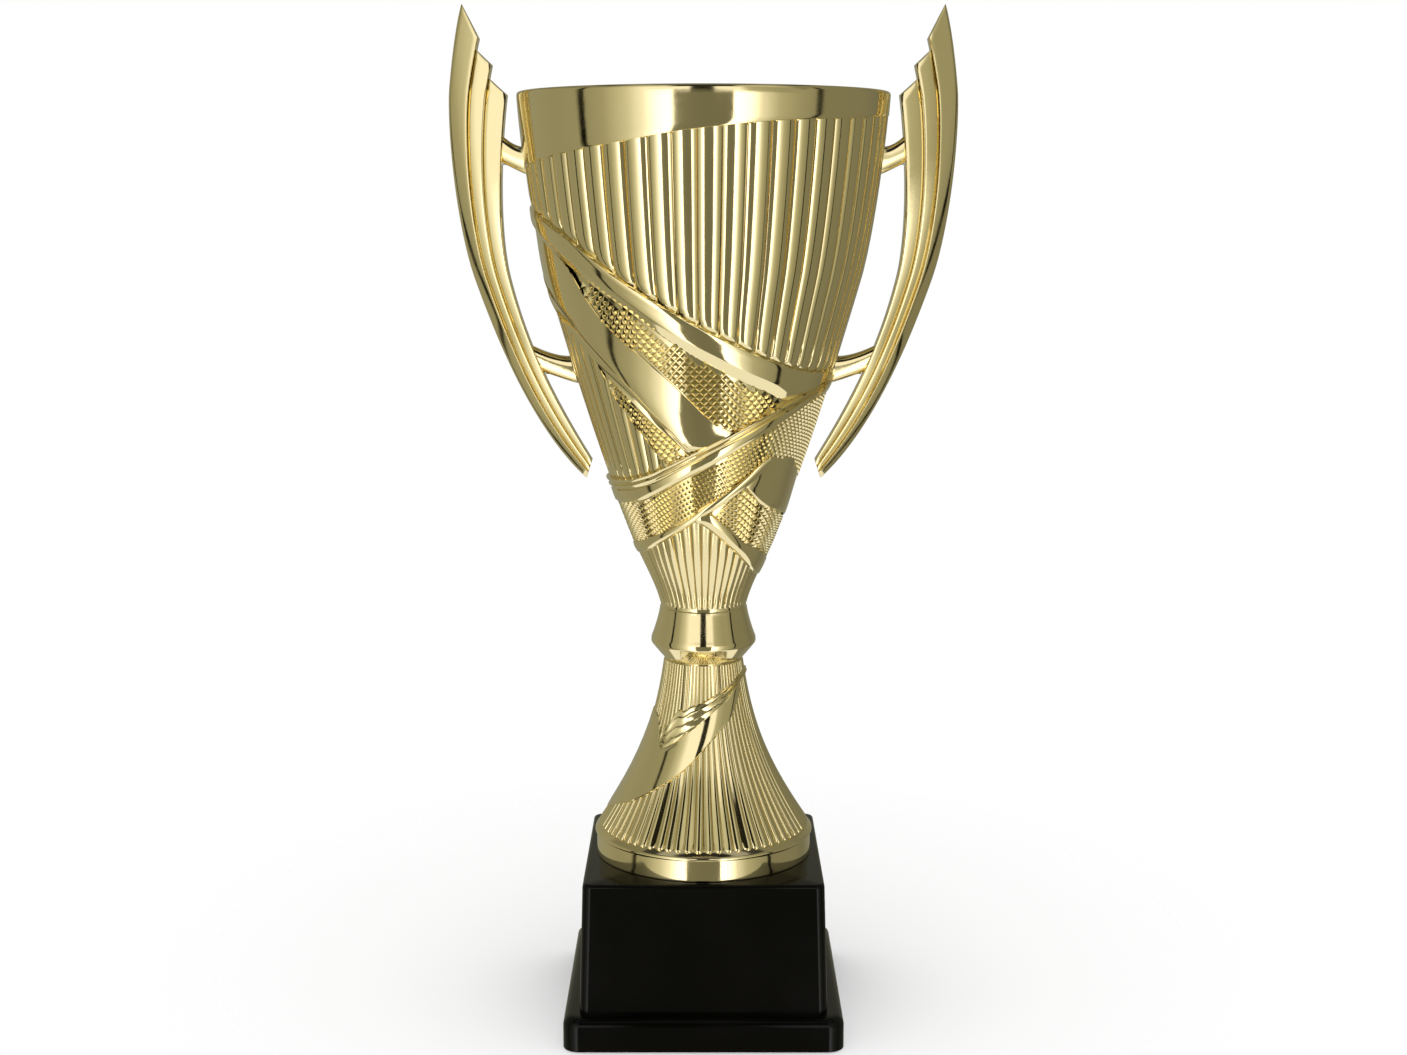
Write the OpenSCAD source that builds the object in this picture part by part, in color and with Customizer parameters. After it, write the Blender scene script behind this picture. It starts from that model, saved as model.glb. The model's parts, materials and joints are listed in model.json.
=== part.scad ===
// Two-handled cup trophy: metallised plastic bowl, knop and stem, clamped to a black plastic base by a tie rod.
// +Z is up, +X points to the right handle and -Y to the front. The origin is under the middle of the base.

/* [Bowl] */
// Outside diameter of the rim
rim_d = 120.6; // [104:0.2:145]
// Height of the bowl, from its seat on the knop to its rim
bowl_h = 168.5; // [140:0.5:203]
// Outside diameter of the bowl where it sits on the knop
neck_d = 28.8; // [26:0.2:35]
// Thickness of the bowl's wall, measured level
bowl_wall = 2; // [1.6:0.1:3]
// Thickness of the bowl's floor, which the tie rod clamps
bowl_floor = 5; // [4:0.5:7]

/* [Handles] */
// Thickness of a handle, front to back
handle_t = 8; // [7:0.5:11]
// Height of a handle's tip above the rim
handle_rise = 28; // [20:0.5:36]
// Depth of a handle's cut end below the rim
handle_drop = 125.4; // [112:0.2:135]
// Depth of the upper strut's screw below the rim
upper_strut_drop = 21.5; // [18:0.5:30]
// Depth of the lower strut's screw below the rim
lower_strut_drop = 89.5; // [80:0.5:95]
// Height of a strut where it meets the bowl
strut_h = 9; // [7:0.5:11]
// Diameter of the round foot that seats a strut on the bowl
strut_foot_d = 10.5; // [9:0.5:12]

/* [Handle screws] */
// Thread diameter of a handle screw
screw_d = 3; // [2.5:0.1:4]
// Length of a handle screw under its head
screw_l = 14; // [10:1:20]
// Diameter of a handle screw's head
screw_head_d = 6; // [5:0.5:8]
// Height of a handle screw's head
screw_head_h = 2.2; // [1.6:0.1:3]
// Outside diameter of the washer under the screw's head
screw_washer_d = 9; // [8:0.5:10]
// Thickness of that washer
screw_washer_t = 0.8; // [0.5:0.1:1.5]
// Width across the corners of the six-sided socket in the head
socket_d = 2.4; // [1.8:0.1:3]
// Depth of that socket
socket_depth = 1.3; // [0.8:0.1:1.5]

/* [Knop] */
// Diameter of the knop at its widest
knop_d = 35.2; // [30:0.2:42]
// Height of the knop
knop_h = 17.7; // [15:0.1:21]
// Wall thickness of the knop
knop_wall = 2; // [1.6:0.1:3]

/* [Stem] */
// Height of the stem and its foot, from the base to the knop
stem_h = 67.6; // [56:0.2:81]
// Diameter of the stem at its top
stem_top_d = 26.4; // [24:0.2:32]
// Diameter of the stem's round foot
foot_d = 73; // [60:0.5:77]
// Height of the plain band round the foot
foot_band_h = 7.3; // [6:0.1:9]
// Wall thickness of the stem
stem_wall = 2.2; // [1.8:0.1:3]
// Thickness of the plate that closes the stem's top
stem_plate = 4; // [3:0.5:6]

/* [Base] */
// Width of the plinth, the low step at the bottom of the base
plinth_w = 92; // [84:0.5:110]
// Height of the plinth
plinth_h = 11.1; // [9:0.1:14]
// Corner radius of the plinth
plinth_r = 5.5; // [3:0.5:8]
// Width of the block where it meets the plinth
block_low_w = 81.5; // [78:0.5:82]
// Width of the block at its top
block_top_w = 79; // [74:0.5:80]
// Height of the base's flat top above the ground
base_h = 54.7; // [45:0.1:66]
// Radius of the block's upright corners
block_r = 3; // [2:0.5:6]
// Wall thickness of the base
base_wall = 2.5; // [2:0.1:3.5]
// Thickness of the base's top, which the tie rod clamps
base_top = 4; // [3:0.5:6]

/* [Inside the base] */
// Width of the iron plate that weights the base
ballast_w = 62; // [50:1:66]
// Thickness of that plate
ballast_h = 14; // [10:0.5:18]
// Thickness of the board that closes the base
cover_t = 2; // [1.5:0.1:3]
// Thickness of the felt under it
felt_t = 1.2; // [1:0.1:2]
// Height at which the base's rim clears the ground, so that the felt carries the trophy
rim_clear = 0.4; // [0.2:0.1:0.8]

/* [Tie rod] */
// Thread diameter of the tie rod
rod_d = 6; // [5:0.5:8]
// Diameter of the washer in the bowl
top_washer_d = 18; // [16:0.5:20]
// Diameter of the washer under the iron plate
bottom_washer_d = 30; // [24:1:40]
// Thickness of both washers
rod_washer_t = 1.6; // [1:0.1:2.5]
// Width of a nut across its flats
nut_w = 10; // [9:0.5:13]
// Height of a nut
nut_h = 5; // [4:0.5:6.5]
// Length of rod that shows past each nut
rod_end = 2.4; // [1:0.1:4]

/* [Clearances] */
// Gap round the tie rod in each hole
rod_gap = 0.35; // [0.2:0.05:0.8]
// Gap round a screw in the bowl and in its washer
screw_gap = 0.2; // [0.1:0.05:0.5]
// Gap round a screw's thread in the plastic that it holds
thread_gap = 0.03; // [0.02:0.01:0.1]
// Gap round the board and the felt in the base
cover_gap = 0.3; // [0.2:0.05:0.6]

/* [Hidden] */

gold = [0.83, 0.69, 0.36];
black = [0.06, 0.06, 0.06];
zinc = [0.72, 0.73, 0.75];
iron = [0.3, 0.3, 0.31];
board = [0.45, 0.33, 0.22];
felt = [0.1, 0.1, 0.11];

// Segments of a revolved surface, of a small round part and of a round that a hull takes
round_fn = 96;
small_fn = 48;
hull_fn = 32;
// Straight steps along one curve of an outline
curve_steps = 12;
// Length by which a cutter runs past what it cuts
over = 1;
// Thickness of a layer that only shapes a hull
layer = 0.01;
nut_sides = 6;

// Heights, from the ground up
stem_z = base_h;
knop_z = stem_z + stem_h;
bowl_z = knop_z + knop_h;
rim_z = bowl_z + bowl_h;
floor_z = bowl_z + bowl_floor;
base_roof_z = base_h - base_top;
ballast_z = base_roof_z - ballast_h;
bottom_washer_z = ballast_z - rod_washer_t;
bottom_nut_z = bottom_washer_z - nut_h;
rod_low_z = bottom_nut_z - rod_end;
top_washer_z = floor_z;
top_nut_z = top_washer_z + rod_washer_t;
rod_top_z = top_nut_z + nut_h + rod_end;
rod_hole_r = rod_d / 2 + rod_gap;

// A cubic curve through its first and last points, drawn towards the two between
function curve(p) = [for (i = [0:curve_steps]) let (t = i / curve_steps, u = 1 - t)
    p[0] * u ^ 3 + p[1] * 3 * u ^ 2 * t + p[2] * 3 * u * t ^ 2 + p[3] * t ^ 3];
function without_first(points) = [for (i = [1:len(points) - 1]) points[i]];
function backwards(points) = [for (i = [len(points) - 1:-1:0]) points[i]];

// The bowl's outline in three curves, as shares of its spread from neck to rim and of its height
bowl_cup = [[0, 0], [0.033, 0.044], [0.159, 0.101], [0.222, 0.148]];
bowl_side = [[0.222, 0.148], [0.442, 0.301], [0.658, 0.498], [0.821, 0.653]];
bowl_flare = [[0.821, 0.653], [0.9, 0.734], [0.983, 0.913], [1, 1]];
bowl_shares = concat(curve(bowl_cup), without_first(curve(bowl_side)), without_first(curve(bowl_flare)));
neck_r = neck_d / 2;
rim_r = rim_d / 2;
bowl_outline = [for (p = bowl_shares) [neck_r + (rim_r - neck_r) * p[0], bowl_z + bowl_h * p[1]]];
bowl_by_height = [for (p = bowl_outline) [p[1], p[0]]];

// Outside radius of the bowl at a height
function bowl_r(z) = lookup(z, bowl_by_height);

// Curves of a handle's inner and outer edges, as distance out from the bowl and height from the rim
handle_end_cut = 5.9;
handle_inner_pull = 38.7;
handle_outer_pull = 27.6;
handle_inner_end = handle_end_cut - handle_drop;
handle_inner = [[3.2, -0.7], [14.6, -58.3],
    [14.4, handle_inner_end + handle_inner_pull], [3.7, handle_inner_end]];
handle_outer = [[17.4, handle_rise], [25.5, 0.1], [29.2, handle_outer_pull - handle_drop], [7.6, -handle_drop]];
// The three blades of a handle as shares of its width, from the bowl out, and the thickness each loses
blade_shares = [0, 0.33, 0.62, 1];
blade_steps = [1.2, 0.6, 0];
// Share of the curve by which a blade's outer top corner sits lower than its inner one
blade_notch = 0.03;
handle_steps = 24;

function curve_at(p, t) = let (u = 1 - t)
    p[0] * u ^ 3 + p[1] * 3 * u ^ 2 * t + p[2] * 3 * u * t ^ 2 + p[3] * t ^ 3;
// Point of a handle at a share of its width and a share of its length, counted from the bowl and from the tip
function handle_point(across, along) =
    let (p = curve_at(handle_inner, along) * (1 - across) + curve_at(handle_outer, along) * across)
    [bowl_r(rim_z + p[1]) + p[0], rim_z + p[1]];
function handle_edge(across, start) =
    [for (i = [0:handle_steps]) handle_point(across, start + (1 - start) * i / handle_steps)];
handle_inner_by_height = [for (p = backwards(handle_edge(0, 0))) [p[1], p[0]]];
// Distance of a handle's inner edge from the axis at a height
function handle_in(z) = lookup(z, handle_inner_by_height);

// Struts: the screw's height, the height of the strut's root on the blade, and the seat's faces
strut_drops = [upper_strut_drop, lower_strut_drop];
strut_rise = 4.2;
strut_sink = 1.5;
strut_thinner = 2;
strut_t = handle_t - strut_thinner;
seat_proud = 0.3;
seat_back = 0.5;
strut_foot_r = strut_foot_d / 2;
strut_foot_t = 2;
function strut_z(drop) = rim_z - drop;
// Face of the bowl's boss that the strut sits on, and its face inside the bowl
function seat_x(drop) = bowl_r(strut_z(drop) + strut_foot_r) + seat_proud;
function seat_in_x(drop) = bowl_r(strut_z(drop) - strut_foot_r) - bowl_wall - seat_back;
screw_hole_r = screw_d / 2 + screw_gap;

// Knop outline: its seat on the stem, its sharp widest edge and the flare up to the bowl
knop_low_r = stem_top_d / 2;
knop_r = knop_d / 2;
knop_cove = [1.6, 1.8];
knop_chamfer_h = 5.2;
knop_edge_h = 1.8;
knop_edge_lean = 0.1;
knop_top_lip = 0.2;
knop_low_pull = [-1.2, -8];
knop_top_pull = [0.4, -3.5];
knop_top_r = neck_r + knop_top_lip;
knop_core_r = rod_hole_r + knop_wall;
knop_flare = [[knop_r - knop_edge_lean, knop_chamfer_h + knop_edge_h], [knop_r, knop_h] + knop_low_pull,
    [knop_top_r, knop_h] + knop_top_pull, [knop_top_r, knop_h]];
knop_outline = concat([[0, 0], [knop_low_r, 0], [knop_low_r, 0] + knop_cove, [knop_r, knop_chamfer_h]],
    curve(knop_flare), [[0, knop_h]]);

// Stem outline: the plain band, the bead over it and the flare up to the knop
stem_foot_r = foot_d / 2;
stem_top_r = stem_top_d / 2;
bead_r = 0.5;
bead_to_flare = [-0.5, 1.4];
flare_low_pull = [-13.2, 19.5];
flare_top_pull = [3.2, -24.2];
flare_start = [stem_foot_r, foot_band_h + 2 * bead_r] + bead_to_flare;
flare_end = [stem_top_r, stem_h];
stem_flare = [flare_start, flare_start + flare_low_pull, flare_end + flare_top_pull, flare_end];
stem_outline = concat([[0, 0], [stem_foot_r, 0], [stem_foot_r, foot_band_h]],
    [[stem_foot_r + bead_r, foot_band_h + bead_r], [stem_foot_r, foot_band_h + 2 * bead_r]],
    curve(stem_flare), [[0, stem_h]]);
stem_hollow = concat([[0, -over], [stem_foot_r - stem_wall, -over], [stem_foot_r - stem_wall, foot_band_h]],
    [for (p = curve(stem_flare)) if (p[1] < stem_h - stem_plate - stem_wall) [p[0] - stem_wall, p[1]]],
    [[stem_top_r - stem_wall, stem_h - stem_plate], [0, stem_h - stem_plate]]);
stem_core_r = rod_hole_r + stem_wall;

// Base: the rounding of its edges, and the recess that takes the board and the felt
edge_r = 1.2;
plinth_edge_r = 3;
edge_steps = 4;
ledge_w = 3.5;
recess_w = plinth_w - 2 * base_wall;
recess_z = felt_t + cover_t;
plinth_roof_z = plinth_h - base_wall;
block_z = plinth_h - base_wall / 2;
hollow_r = 1;
ballast_r = 2;
rib_t = 2;
rib_h = 10;

module revolve(points) {
    rotate_extrude($fn = round_fn) polygon(points);
}

module along_x(x_low, x_high, r) {
    translate([x_low, 0, 0]) rotate([0, 90, 0]) cylinder(h = x_high - x_low, r = r, $fn = small_fn);
}

module rod_hole(z_low, z_high) {
    translate([0, 0, z_low]) cylinder(h = z_high - z_low, r = rod_hole_r, $fn = small_fn);
}

// Places its children at each of the four handle screws, with X out along the screw
module at_struts() {
    for (side = [0, 180], drop = strut_drops) {
        $drop = drop;
        rotate([0, 0, side]) translate([0, 0, strut_z(drop)]) children();
    }
}

module bowl() {
    inner_side = [for (p = bowl_outline) if (p[1] > floor_z) [p[0] - bowl_wall, p[1]]];
    hollow = concat([[0, floor_z], [bowl_r(floor_z) - bowl_wall, floor_z]], inner_side,
        [[rim_r - bowl_wall, rim_z + over], [0, rim_z + over]]);
    color(gold) difference() {
        union() {
            difference() {
                revolve(concat([[0, bowl_z]], bowl_outline, [[0, rim_z]]));
                revolve(hollow);
            }
            at_struts() along_x(seat_in_x($drop), seat_x($drop), strut_foot_r);
        }
        at_struts() along_x(seat_in_x($drop) - over, seat_x($drop) + over, screw_hole_r);
        rod_hole(bowl_z - over, floor_z + over);
    }
}

module blade(index) {
    inner = handle_edge(blade_shares[index], 0);
    outer = handle_edge(blade_shares[index + 1], index < len(blade_steps) - 1 ? blade_notch : 0);
    thick = handle_t - blade_steps[index];
    rotate([90, 0, 0]) linear_extrude(thick, center = true) polygon(concat(inner, backwards(outer)));
}

module strut(drop) {
    z = strut_z(drop);
    root_z = z + strut_rise;
    outline = [
        [handle_in(root_z + strut_h / 2) + strut_sink, root_z + strut_h / 2],
        [seat_x(drop), z + strut_h / 2],
        [seat_x(drop), z - strut_h / 2],
        [handle_in(root_z - strut_h / 2) + strut_sink, root_z - strut_h / 2],
    ];
    rotate([90, 0, 0]) linear_extrude(strut_t, center = true) polygon(outline);
    translate([0, 0, z]) along_x(seat_x(drop), seat_x(drop) + strut_foot_t, strut_foot_r);
}

module handle() {
    color(gold) difference() {
        union() {
            for (index = [0:len(blade_steps) - 1]) blade(index);
            for (drop = strut_drops) strut(drop);
        }
        for (drop = strut_drops) translate([0, 0, strut_z(drop)])
            along_x(seat_x(drop) - over, screw_tip_x(drop) + over, screw_d / 2 + thread_gap);
    }
}

module handle_right() {
    handle();
}

module handle_left() {
    mirror([1, 0, 0]) handle();
}

// Under the head of a screw, and its tip
function screw_x(drop) = seat_in_x(drop) - screw_washer_t;
function screw_tip_x(drop) = screw_x(drop) + screw_l;

module handle_screws() {
    color(zinc) at_struts() difference() {
        union() {
            along_x(screw_x($drop) - screw_head_h, screw_x($drop), screw_head_d / 2);
            along_x(screw_x($drop) - layer, screw_tip_x($drop), screw_d / 2);
        }
        translate([screw_x($drop) - screw_head_h - over, 0, 0]) rotate([0, 90, 0])
            cylinder(h = socket_depth + over, r = socket_d / 2, $fn = nut_sides);
    }
}

module handle_washers() {
    color(zinc) at_struts() difference() {
        along_x(screw_x($drop), seat_in_x($drop), screw_washer_d / 2);
        along_x(screw_x($drop) - over, seat_in_x($drop) + over, screw_hole_r);
    }
}

module rod_washer(z, d) {
    color(zinc) difference() {
        translate([0, 0, z]) cylinder(h = rod_washer_t, r = d / 2, $fn = round_fn);
        rod_hole(z - over, z + rod_washer_t + over);
    }
}

module nut(z) {
    across_corners = nut_w / cos(180 / nut_sides);
    color(zinc) difference() {
        translate([0, 0, z]) cylinder(h = nut_h, r = across_corners / 2, $fn = nut_sides);
        translate([0, 0, z - over]) cylinder(h = nut_h + 2 * over, r = rod_d / 2 + thread_gap, $fn = small_fn);
    }
}

module top_washer() {
    rod_washer(top_washer_z, top_washer_d);
}

module top_nut() {
    nut(top_nut_z);
}

module bottom_washer() {
    rod_washer(bottom_washer_z, bottom_washer_d);
}

module bottom_nut() {
    nut(bottom_nut_z);
}

module tie_rod() {
    color(zinc) translate([0, 0, rod_low_z]) cylinder(h = rod_top_z - rod_low_z, r = rod_d / 2, $fn = small_fn);
}

module knop() {
    hollow = [[knop_core_r, -over], [knop_low_r - knop_wall, -over], [knop_low_r - knop_wall, knop_chamfer_h],
        [knop_top_r - knop_wall, knop_h - 2 * knop_wall], [knop_core_r, knop_h - 2 * knop_wall]];
    color(gold) translate([0, 0, knop_z]) difference() {
        revolve(knop_outline);
        revolve(hollow);
        rod_hole(-over, knop_h + over);
    }
}

module stem_foot() {
    color(gold) translate([0, 0, stem_z]) difference() {
        union() {
            difference() {
                revolve(stem_outline);
                revolve(stem_hollow);
            }
            cylinder(h = stem_h - layer, r = stem_core_r, $fn = small_fn);
        }
        rod_hole(-over, stem_h + over);
    }
}

// A square plate with rounded corners
module slab(w, r, z, h) {
    reach = w / 2 - r;
    translate([0, 0, z]) linear_extrude(h) union() {
        square([w, 2 * reach], center = true);
        square([2 * reach, w], center = true);
        for (x = [-reach, reach], y = [-reach, reach]) translate([x, y]) circle(r, $fn = hull_fn);
    }
}

// A block that narrows upwards, with rounded upright corners and a rounded top edge
module drafted_block(low_w, top_w, corner_r, z_low, z_high, round_r) {
    hull() {
        slab(low_w, corner_r, z_low, layer);
        for (i = [0:edge_steps]) {
            a = 90 * i / edge_steps;
            inset = round_r * (1 - cos(a));
            slab(top_w - 2 * inset, corner_r - inset / 2, z_high - layer - round_r * (1 - sin(a)), layer);
        }
    }
}

module base_shell() {
    block_inner_low_w = block_low_w - 2 * base_wall;
    block_inner_top_w = block_top_w - 2 * base_wall;
    rib_reach = block_inner_low_w / 2;
    color(black) difference() {
        union() {
            difference() {
                union() {
                    drafted_block(plinth_w, plinth_w, plinth_r, rim_clear, plinth_h, plinth_edge_r);
                    drafted_block(block_low_w, block_top_w, block_r, block_z, base_h, edge_r);
                }
                slab(recess_w, plinth_r - base_wall, rim_clear - over, recess_z - rim_clear + over);
                slab(recess_w - 2 * ledge_w, block_r, recess_z - layer, plinth_roof_z - recess_z + layer);
                hull() {
                    slab(block_inner_low_w, hollow_r, plinth_roof_z - over, layer);
                    slab(block_inner_top_w, hollow_r, base_roof_z - layer, layer);
                }
            }
            // Ribs that keep the iron plate in the middle
            for (angle = [0:90:270]) rotate([0, 0, angle])
                translate([ballast_w / 2 + cover_gap, -rib_t / 2, base_roof_z - rib_h])
                    cube([rib_reach - ballast_w / 2 - cover_gap, rib_t, rib_h + base_top / 2]);
        }
        rod_hole(base_roof_z - over, base_h + over);
    }
}

module ballast_plate() {
    color(iron) difference() {
        slab(ballast_w, ballast_r, ballast_z, ballast_h);
        rod_hole(ballast_z - over, base_roof_z + over);
    }
}

module base_cover() {
    color(board) slab(recess_w - 2 * cover_gap, plinth_r - base_wall, felt_t, cover_t);
}

module felt_pad() {
    color(felt) slab(recess_w - 2 * cover_gap, plinth_r - base_wall, 0, felt_t);
}

bowl();
handle_left();
handle_right();
handle_screws();
handle_washers();
top_nut();
top_washer();
tie_rod();
knop();
stem_foot();
base_shell();
ballast_plate();
bottom_washer();
bottom_nut();
base_cover();
felt_pad();
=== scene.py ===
"""Looks of a two-handled cup trophy: a relief-moulded gold cup on a fluted stem and a gloss black base.

+Z is up, +X points to the right handle and -Y to the front. Sizes in the classes are in millimetres.
"""

import json
import logging
import math
from abc import ABC, abstractmethod
from dataclasses import dataclass, field
from enum import Enum
from typing import Any, Callable, Sequence

import bpy
import numpy as np
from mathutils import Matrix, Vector

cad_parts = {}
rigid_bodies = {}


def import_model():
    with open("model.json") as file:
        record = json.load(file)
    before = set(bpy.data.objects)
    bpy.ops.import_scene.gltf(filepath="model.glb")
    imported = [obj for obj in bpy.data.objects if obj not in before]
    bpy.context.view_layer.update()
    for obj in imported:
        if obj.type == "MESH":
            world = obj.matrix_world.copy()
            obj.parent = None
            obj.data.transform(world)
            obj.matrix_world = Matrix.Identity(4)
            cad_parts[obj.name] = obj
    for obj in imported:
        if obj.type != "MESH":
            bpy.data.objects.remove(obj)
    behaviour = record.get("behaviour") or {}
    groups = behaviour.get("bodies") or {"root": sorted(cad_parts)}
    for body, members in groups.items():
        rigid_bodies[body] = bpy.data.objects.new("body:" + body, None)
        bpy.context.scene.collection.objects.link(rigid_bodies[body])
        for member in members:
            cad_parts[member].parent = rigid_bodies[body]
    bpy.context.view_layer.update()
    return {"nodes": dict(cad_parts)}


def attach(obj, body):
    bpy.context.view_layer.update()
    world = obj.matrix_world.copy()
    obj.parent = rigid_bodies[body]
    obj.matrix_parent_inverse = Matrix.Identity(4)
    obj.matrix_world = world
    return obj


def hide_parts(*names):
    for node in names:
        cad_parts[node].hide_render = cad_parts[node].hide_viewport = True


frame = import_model()

log = logging.getLogger("trophy")

MM = 0.001
BODY = "root"
WELD = 2e-6
REED_TIP = (0.0, 0.03, 0.12, 0.28, 0.55, 1.0)
SCATTER_TURN = 12.9898
SCATTER_GAIN = 437.585
Points = np.ndarray
Span = tuple[float, float]
Spots = tuple[tuple[float, float], ...]
Colour = tuple[float, float, float, float]
ALL_ROUND: Span = (-90.0, 270.0)


class Slot(str, Enum):
    """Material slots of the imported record."""

    GOLD = "gold_metallised"
    BLACK = "black_gloss"
    STEEL = "zinc_steel"
    IRON = "raw_iron"
    BOARD = "fibreboard"
    FELT = "felt"


class Side(Enum):
    """The side of the cup that a handle is on, as the sign of its X."""

    LEFT = -1
    RIGHT = 1


# ---------------------------------------------------------------- curves


def bezier(p: Sequence[Sequence[float]], t: Points) -> Points:
    """Points of a cubic curve.

    Args:
        p: Its four control points.
        t: Places along it, from 0 to 1.

    Returns:
        One row for each place.
    """
    u = 1 - t
    weights = np.stack([u**3, 3 * u * u * t, 3 * u * t * t, t**3], axis=-1)
    return weights @ np.array(p, float)


def through(xs: Points, ys: Points, x: Points) -> Points:
    """A smooth curve through points, which never swings past them.

    Args:
        xs: Rising places of the points.
        ys: Values at the points.
        x: Places to evaluate.

    Returns:
        The value at each place.
    """
    h = np.diff(xs)
    d = np.diff(ys) / h
    m = np.concatenate([[d[0]], np.zeros(len(d) - 1), [d[-1]]])
    same = d[:-1] * d[1:] > 0
    w1, w2 = 2 * h[1:] + h[:-1], h[1:] + 2 * h[:-1]
    with np.errstate(divide="ignore", invalid="ignore"):
        inner = (w1 + w2) / (w1 / d[:-1] + w2 / d[1:])
    m[1:-1] = np.where(same, inner, 0)
    x = np.clip(x, xs[0], xs[-1])
    k = np.clip(np.searchsorted(xs, x, side="right") - 1, 0, len(h) - 1)
    t = (x - xs[k]) / h[k]
    return (
        (1 + 2 * t) * (1 - t) ** 2 * ys[k] + t * (1 - t) ** 2 * h[k] * m[k]
        + t * t * (3 - 2 * t) * ys[k + 1] + t * t * (t - 1) * h[k] * m[k + 1]
    )


@dataclass(frozen=True)
class Line:
    """A height that changes with the angle around the axis, alike on the front and back half.

    The angle is in degrees from the front, and grows to the right.
    """

    points: Spots

    def at(self, angle: Points) -> Points:
        """The line's height.

        Args:
            angle: The angles, in degrees.

        Returns:
            The height at each angle.
        """
        turned = (np.asarray(angle, float) + 180) % 360 - 180
        folded = np.where(turned > 90, 180 - turned, np.where(turned < -90, -180 - turned, turned))
        data = np.array(self.points, float)
        return through(data[:, 0], data[:, 1], folded)


@dataclass(frozen=True)
class Level(Line):
    """A line at one height, moved from another line."""

    points: Spots = ()
    base: "Line | None" = None
    rise: float = 0.0

    def at(self, angle: Points) -> Points:
        """The line's height at each angle."""
        start = self.base.at(angle) if self.base else np.zeros_like(np.asarray(angle, float))
        return start + self.rise


def both_halves(span: Span) -> list[Span]:
    """A span on the front half and the same span on the back half."""
    return [span, (180 - span[1], 180 - span[0])]


def scatter(numbers: Points) -> Points:
    """Fixed shares from -1 to 1 that look random, one for each whole number."""
    return np.modf(np.sin(numbers * SCATTER_TURN) * SCATTER_GAIN)[0]


# ---------------------------------------------------------------- mesh work


def deselect() -> None:
    """Deselects every object."""
    bpy.ops.object.select_all(action="DESELECT")


def only(obj: bpy.types.Object) -> bpy.types.Object:
    """Selects one object, makes it active and returns it."""
    deselect()
    obj.select_set(True)
    bpy.context.view_layer.objects.active = obj
    return obj


def points_of(obj: bpy.types.Object) -> Points:
    """The places of a mesh's points, in metres."""
    co = np.zeros(len(obj.data.vertices) * 3)
    obj.data.vertices.foreach_get("co", co)
    return co.reshape(-1, 3)


def put_points(obj: bpy.types.Object, places: Points) -> None:
    """Moves a mesh's points to places in millimetres."""
    obj.data.vertices.foreach_set("co", (np.asarray(places) * MM).ravel())
    obj.data.update()


def new_primitive(name: str) -> bpy.types.Object:
    """Names the primitive that was just added, and returns it."""
    obj = bpy.context.object
    obj.name = obj.data.name = name
    return obj


def wrapped(name: str, columns: int, rows: int, place: Callable[[Points, Points], Points]) -> bpy.types.Object:
    """A grid whose points are laid on a surface.

    Args:
        name: The object's name.
        columns: Faces from left to right.
        rows: Faces from bottom to top.
        place: Gives the place in millimetres for shares of the grid's width and height.

    Returns:
        The grid's object.
    """
    deselect()
    bpy.ops.mesh.primitive_grid_add(x_subdivisions=columns, y_subdivisions=rows, size=2)
    obj = new_primitive(name)
    flat = points_of(obj)
    put_points(obj, place((flat[:, 0] + 1) / 2, (flat[:, 1] + 1) / 2))
    return obj


def turned(name: str, outline: Sequence[Sequence[float]], steps: int) -> bpy.types.Object:
    """A closed outline of radius and height spun around the axis.

    Args:
        name: The object's name.
        outline: Radius and height of each corner, in order.
        steps: Faces around the axis.

    Returns:
        The solid's object.
    """
    deselect()
    bpy.ops.mesh.primitive_circle_add(vertices=len(outline), radius=1, fill_type="NOTHING")
    obj = new_primitive(name)
    put_points(obj, [(r, 0, z) for r, z in outline])
    bpy.ops.object.mode_set(mode="EDIT")
    bpy.ops.mesh.select_all(action="SELECT")
    bpy.ops.mesh.spin(steps=steps, angle=2 * math.pi, center=(0, 0, 0), axis=(0, 0, 1), use_auto_merge=True)
    bpy.ops.object.mode_set(mode="OBJECT")
    weld(obj)
    return obj


def weld(obj: bpy.types.Object, face_out: bool = True, fill: bool = False) -> None:
    """Merges a mesh's doubled points.

    Args:
        obj: The mesh's object.
        face_out: Whether its faces are then turned outwards.
        fill: Whether its holes are filled first.
    """
    only(obj)
    bpy.ops.object.mode_set(mode="EDIT")
    bpy.ops.mesh.select_all(action="SELECT")
    bpy.ops.mesh.remove_doubles(threshold=WELD)
    if fill:
        bpy.ops.mesh.fill_holes(sides=0)
        bpy.ops.mesh.select_all(action="SELECT")
    if face_out:
        bpy.ops.mesh.normals_make_consistent(inside=False)
    bpy.ops.object.mode_set(mode="OBJECT")


def modified(obj: bpy.types.Object, kind: str, **settings: Any) -> bpy.types.Object:
    """Adds a modifier and applies it.

    Args:
        obj: The object that takes it.
        kind: The modifier's type.
        settings: Its properties.

    Returns:
        The same object.
    """
    only(obj)
    modifier = obj.modifiers.new(kind.title(), kind)
    for key, value in settings.items():
        setattr(modifier, key, value)
    bpy.ops.object.modifier_apply(modifier=modifier.name)
    return obj


def joined(name: str, parts: Sequence[bpy.types.Object]) -> bpy.types.Object:
    """Joins objects into the first one.

    Args:
        name: The new name of the first one.
        parts: The objects.

    Returns:
        The first one, which holds them all.
    """
    deselect()
    for part in parts:
        part.select_set(True)
    bpy.context.view_layer.objects.active = parts[0]
    bpy.ops.object.join()
    parts[0].name = parts[0].data.name = name
    return parts[0]


def settle(obj: bpy.types.Object) -> None:
    """Puts an object's place, turn and scale into its mesh."""
    only(obj)
    bpy.ops.object.transform_apply(location=True, rotation=True, scale=True)


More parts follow.
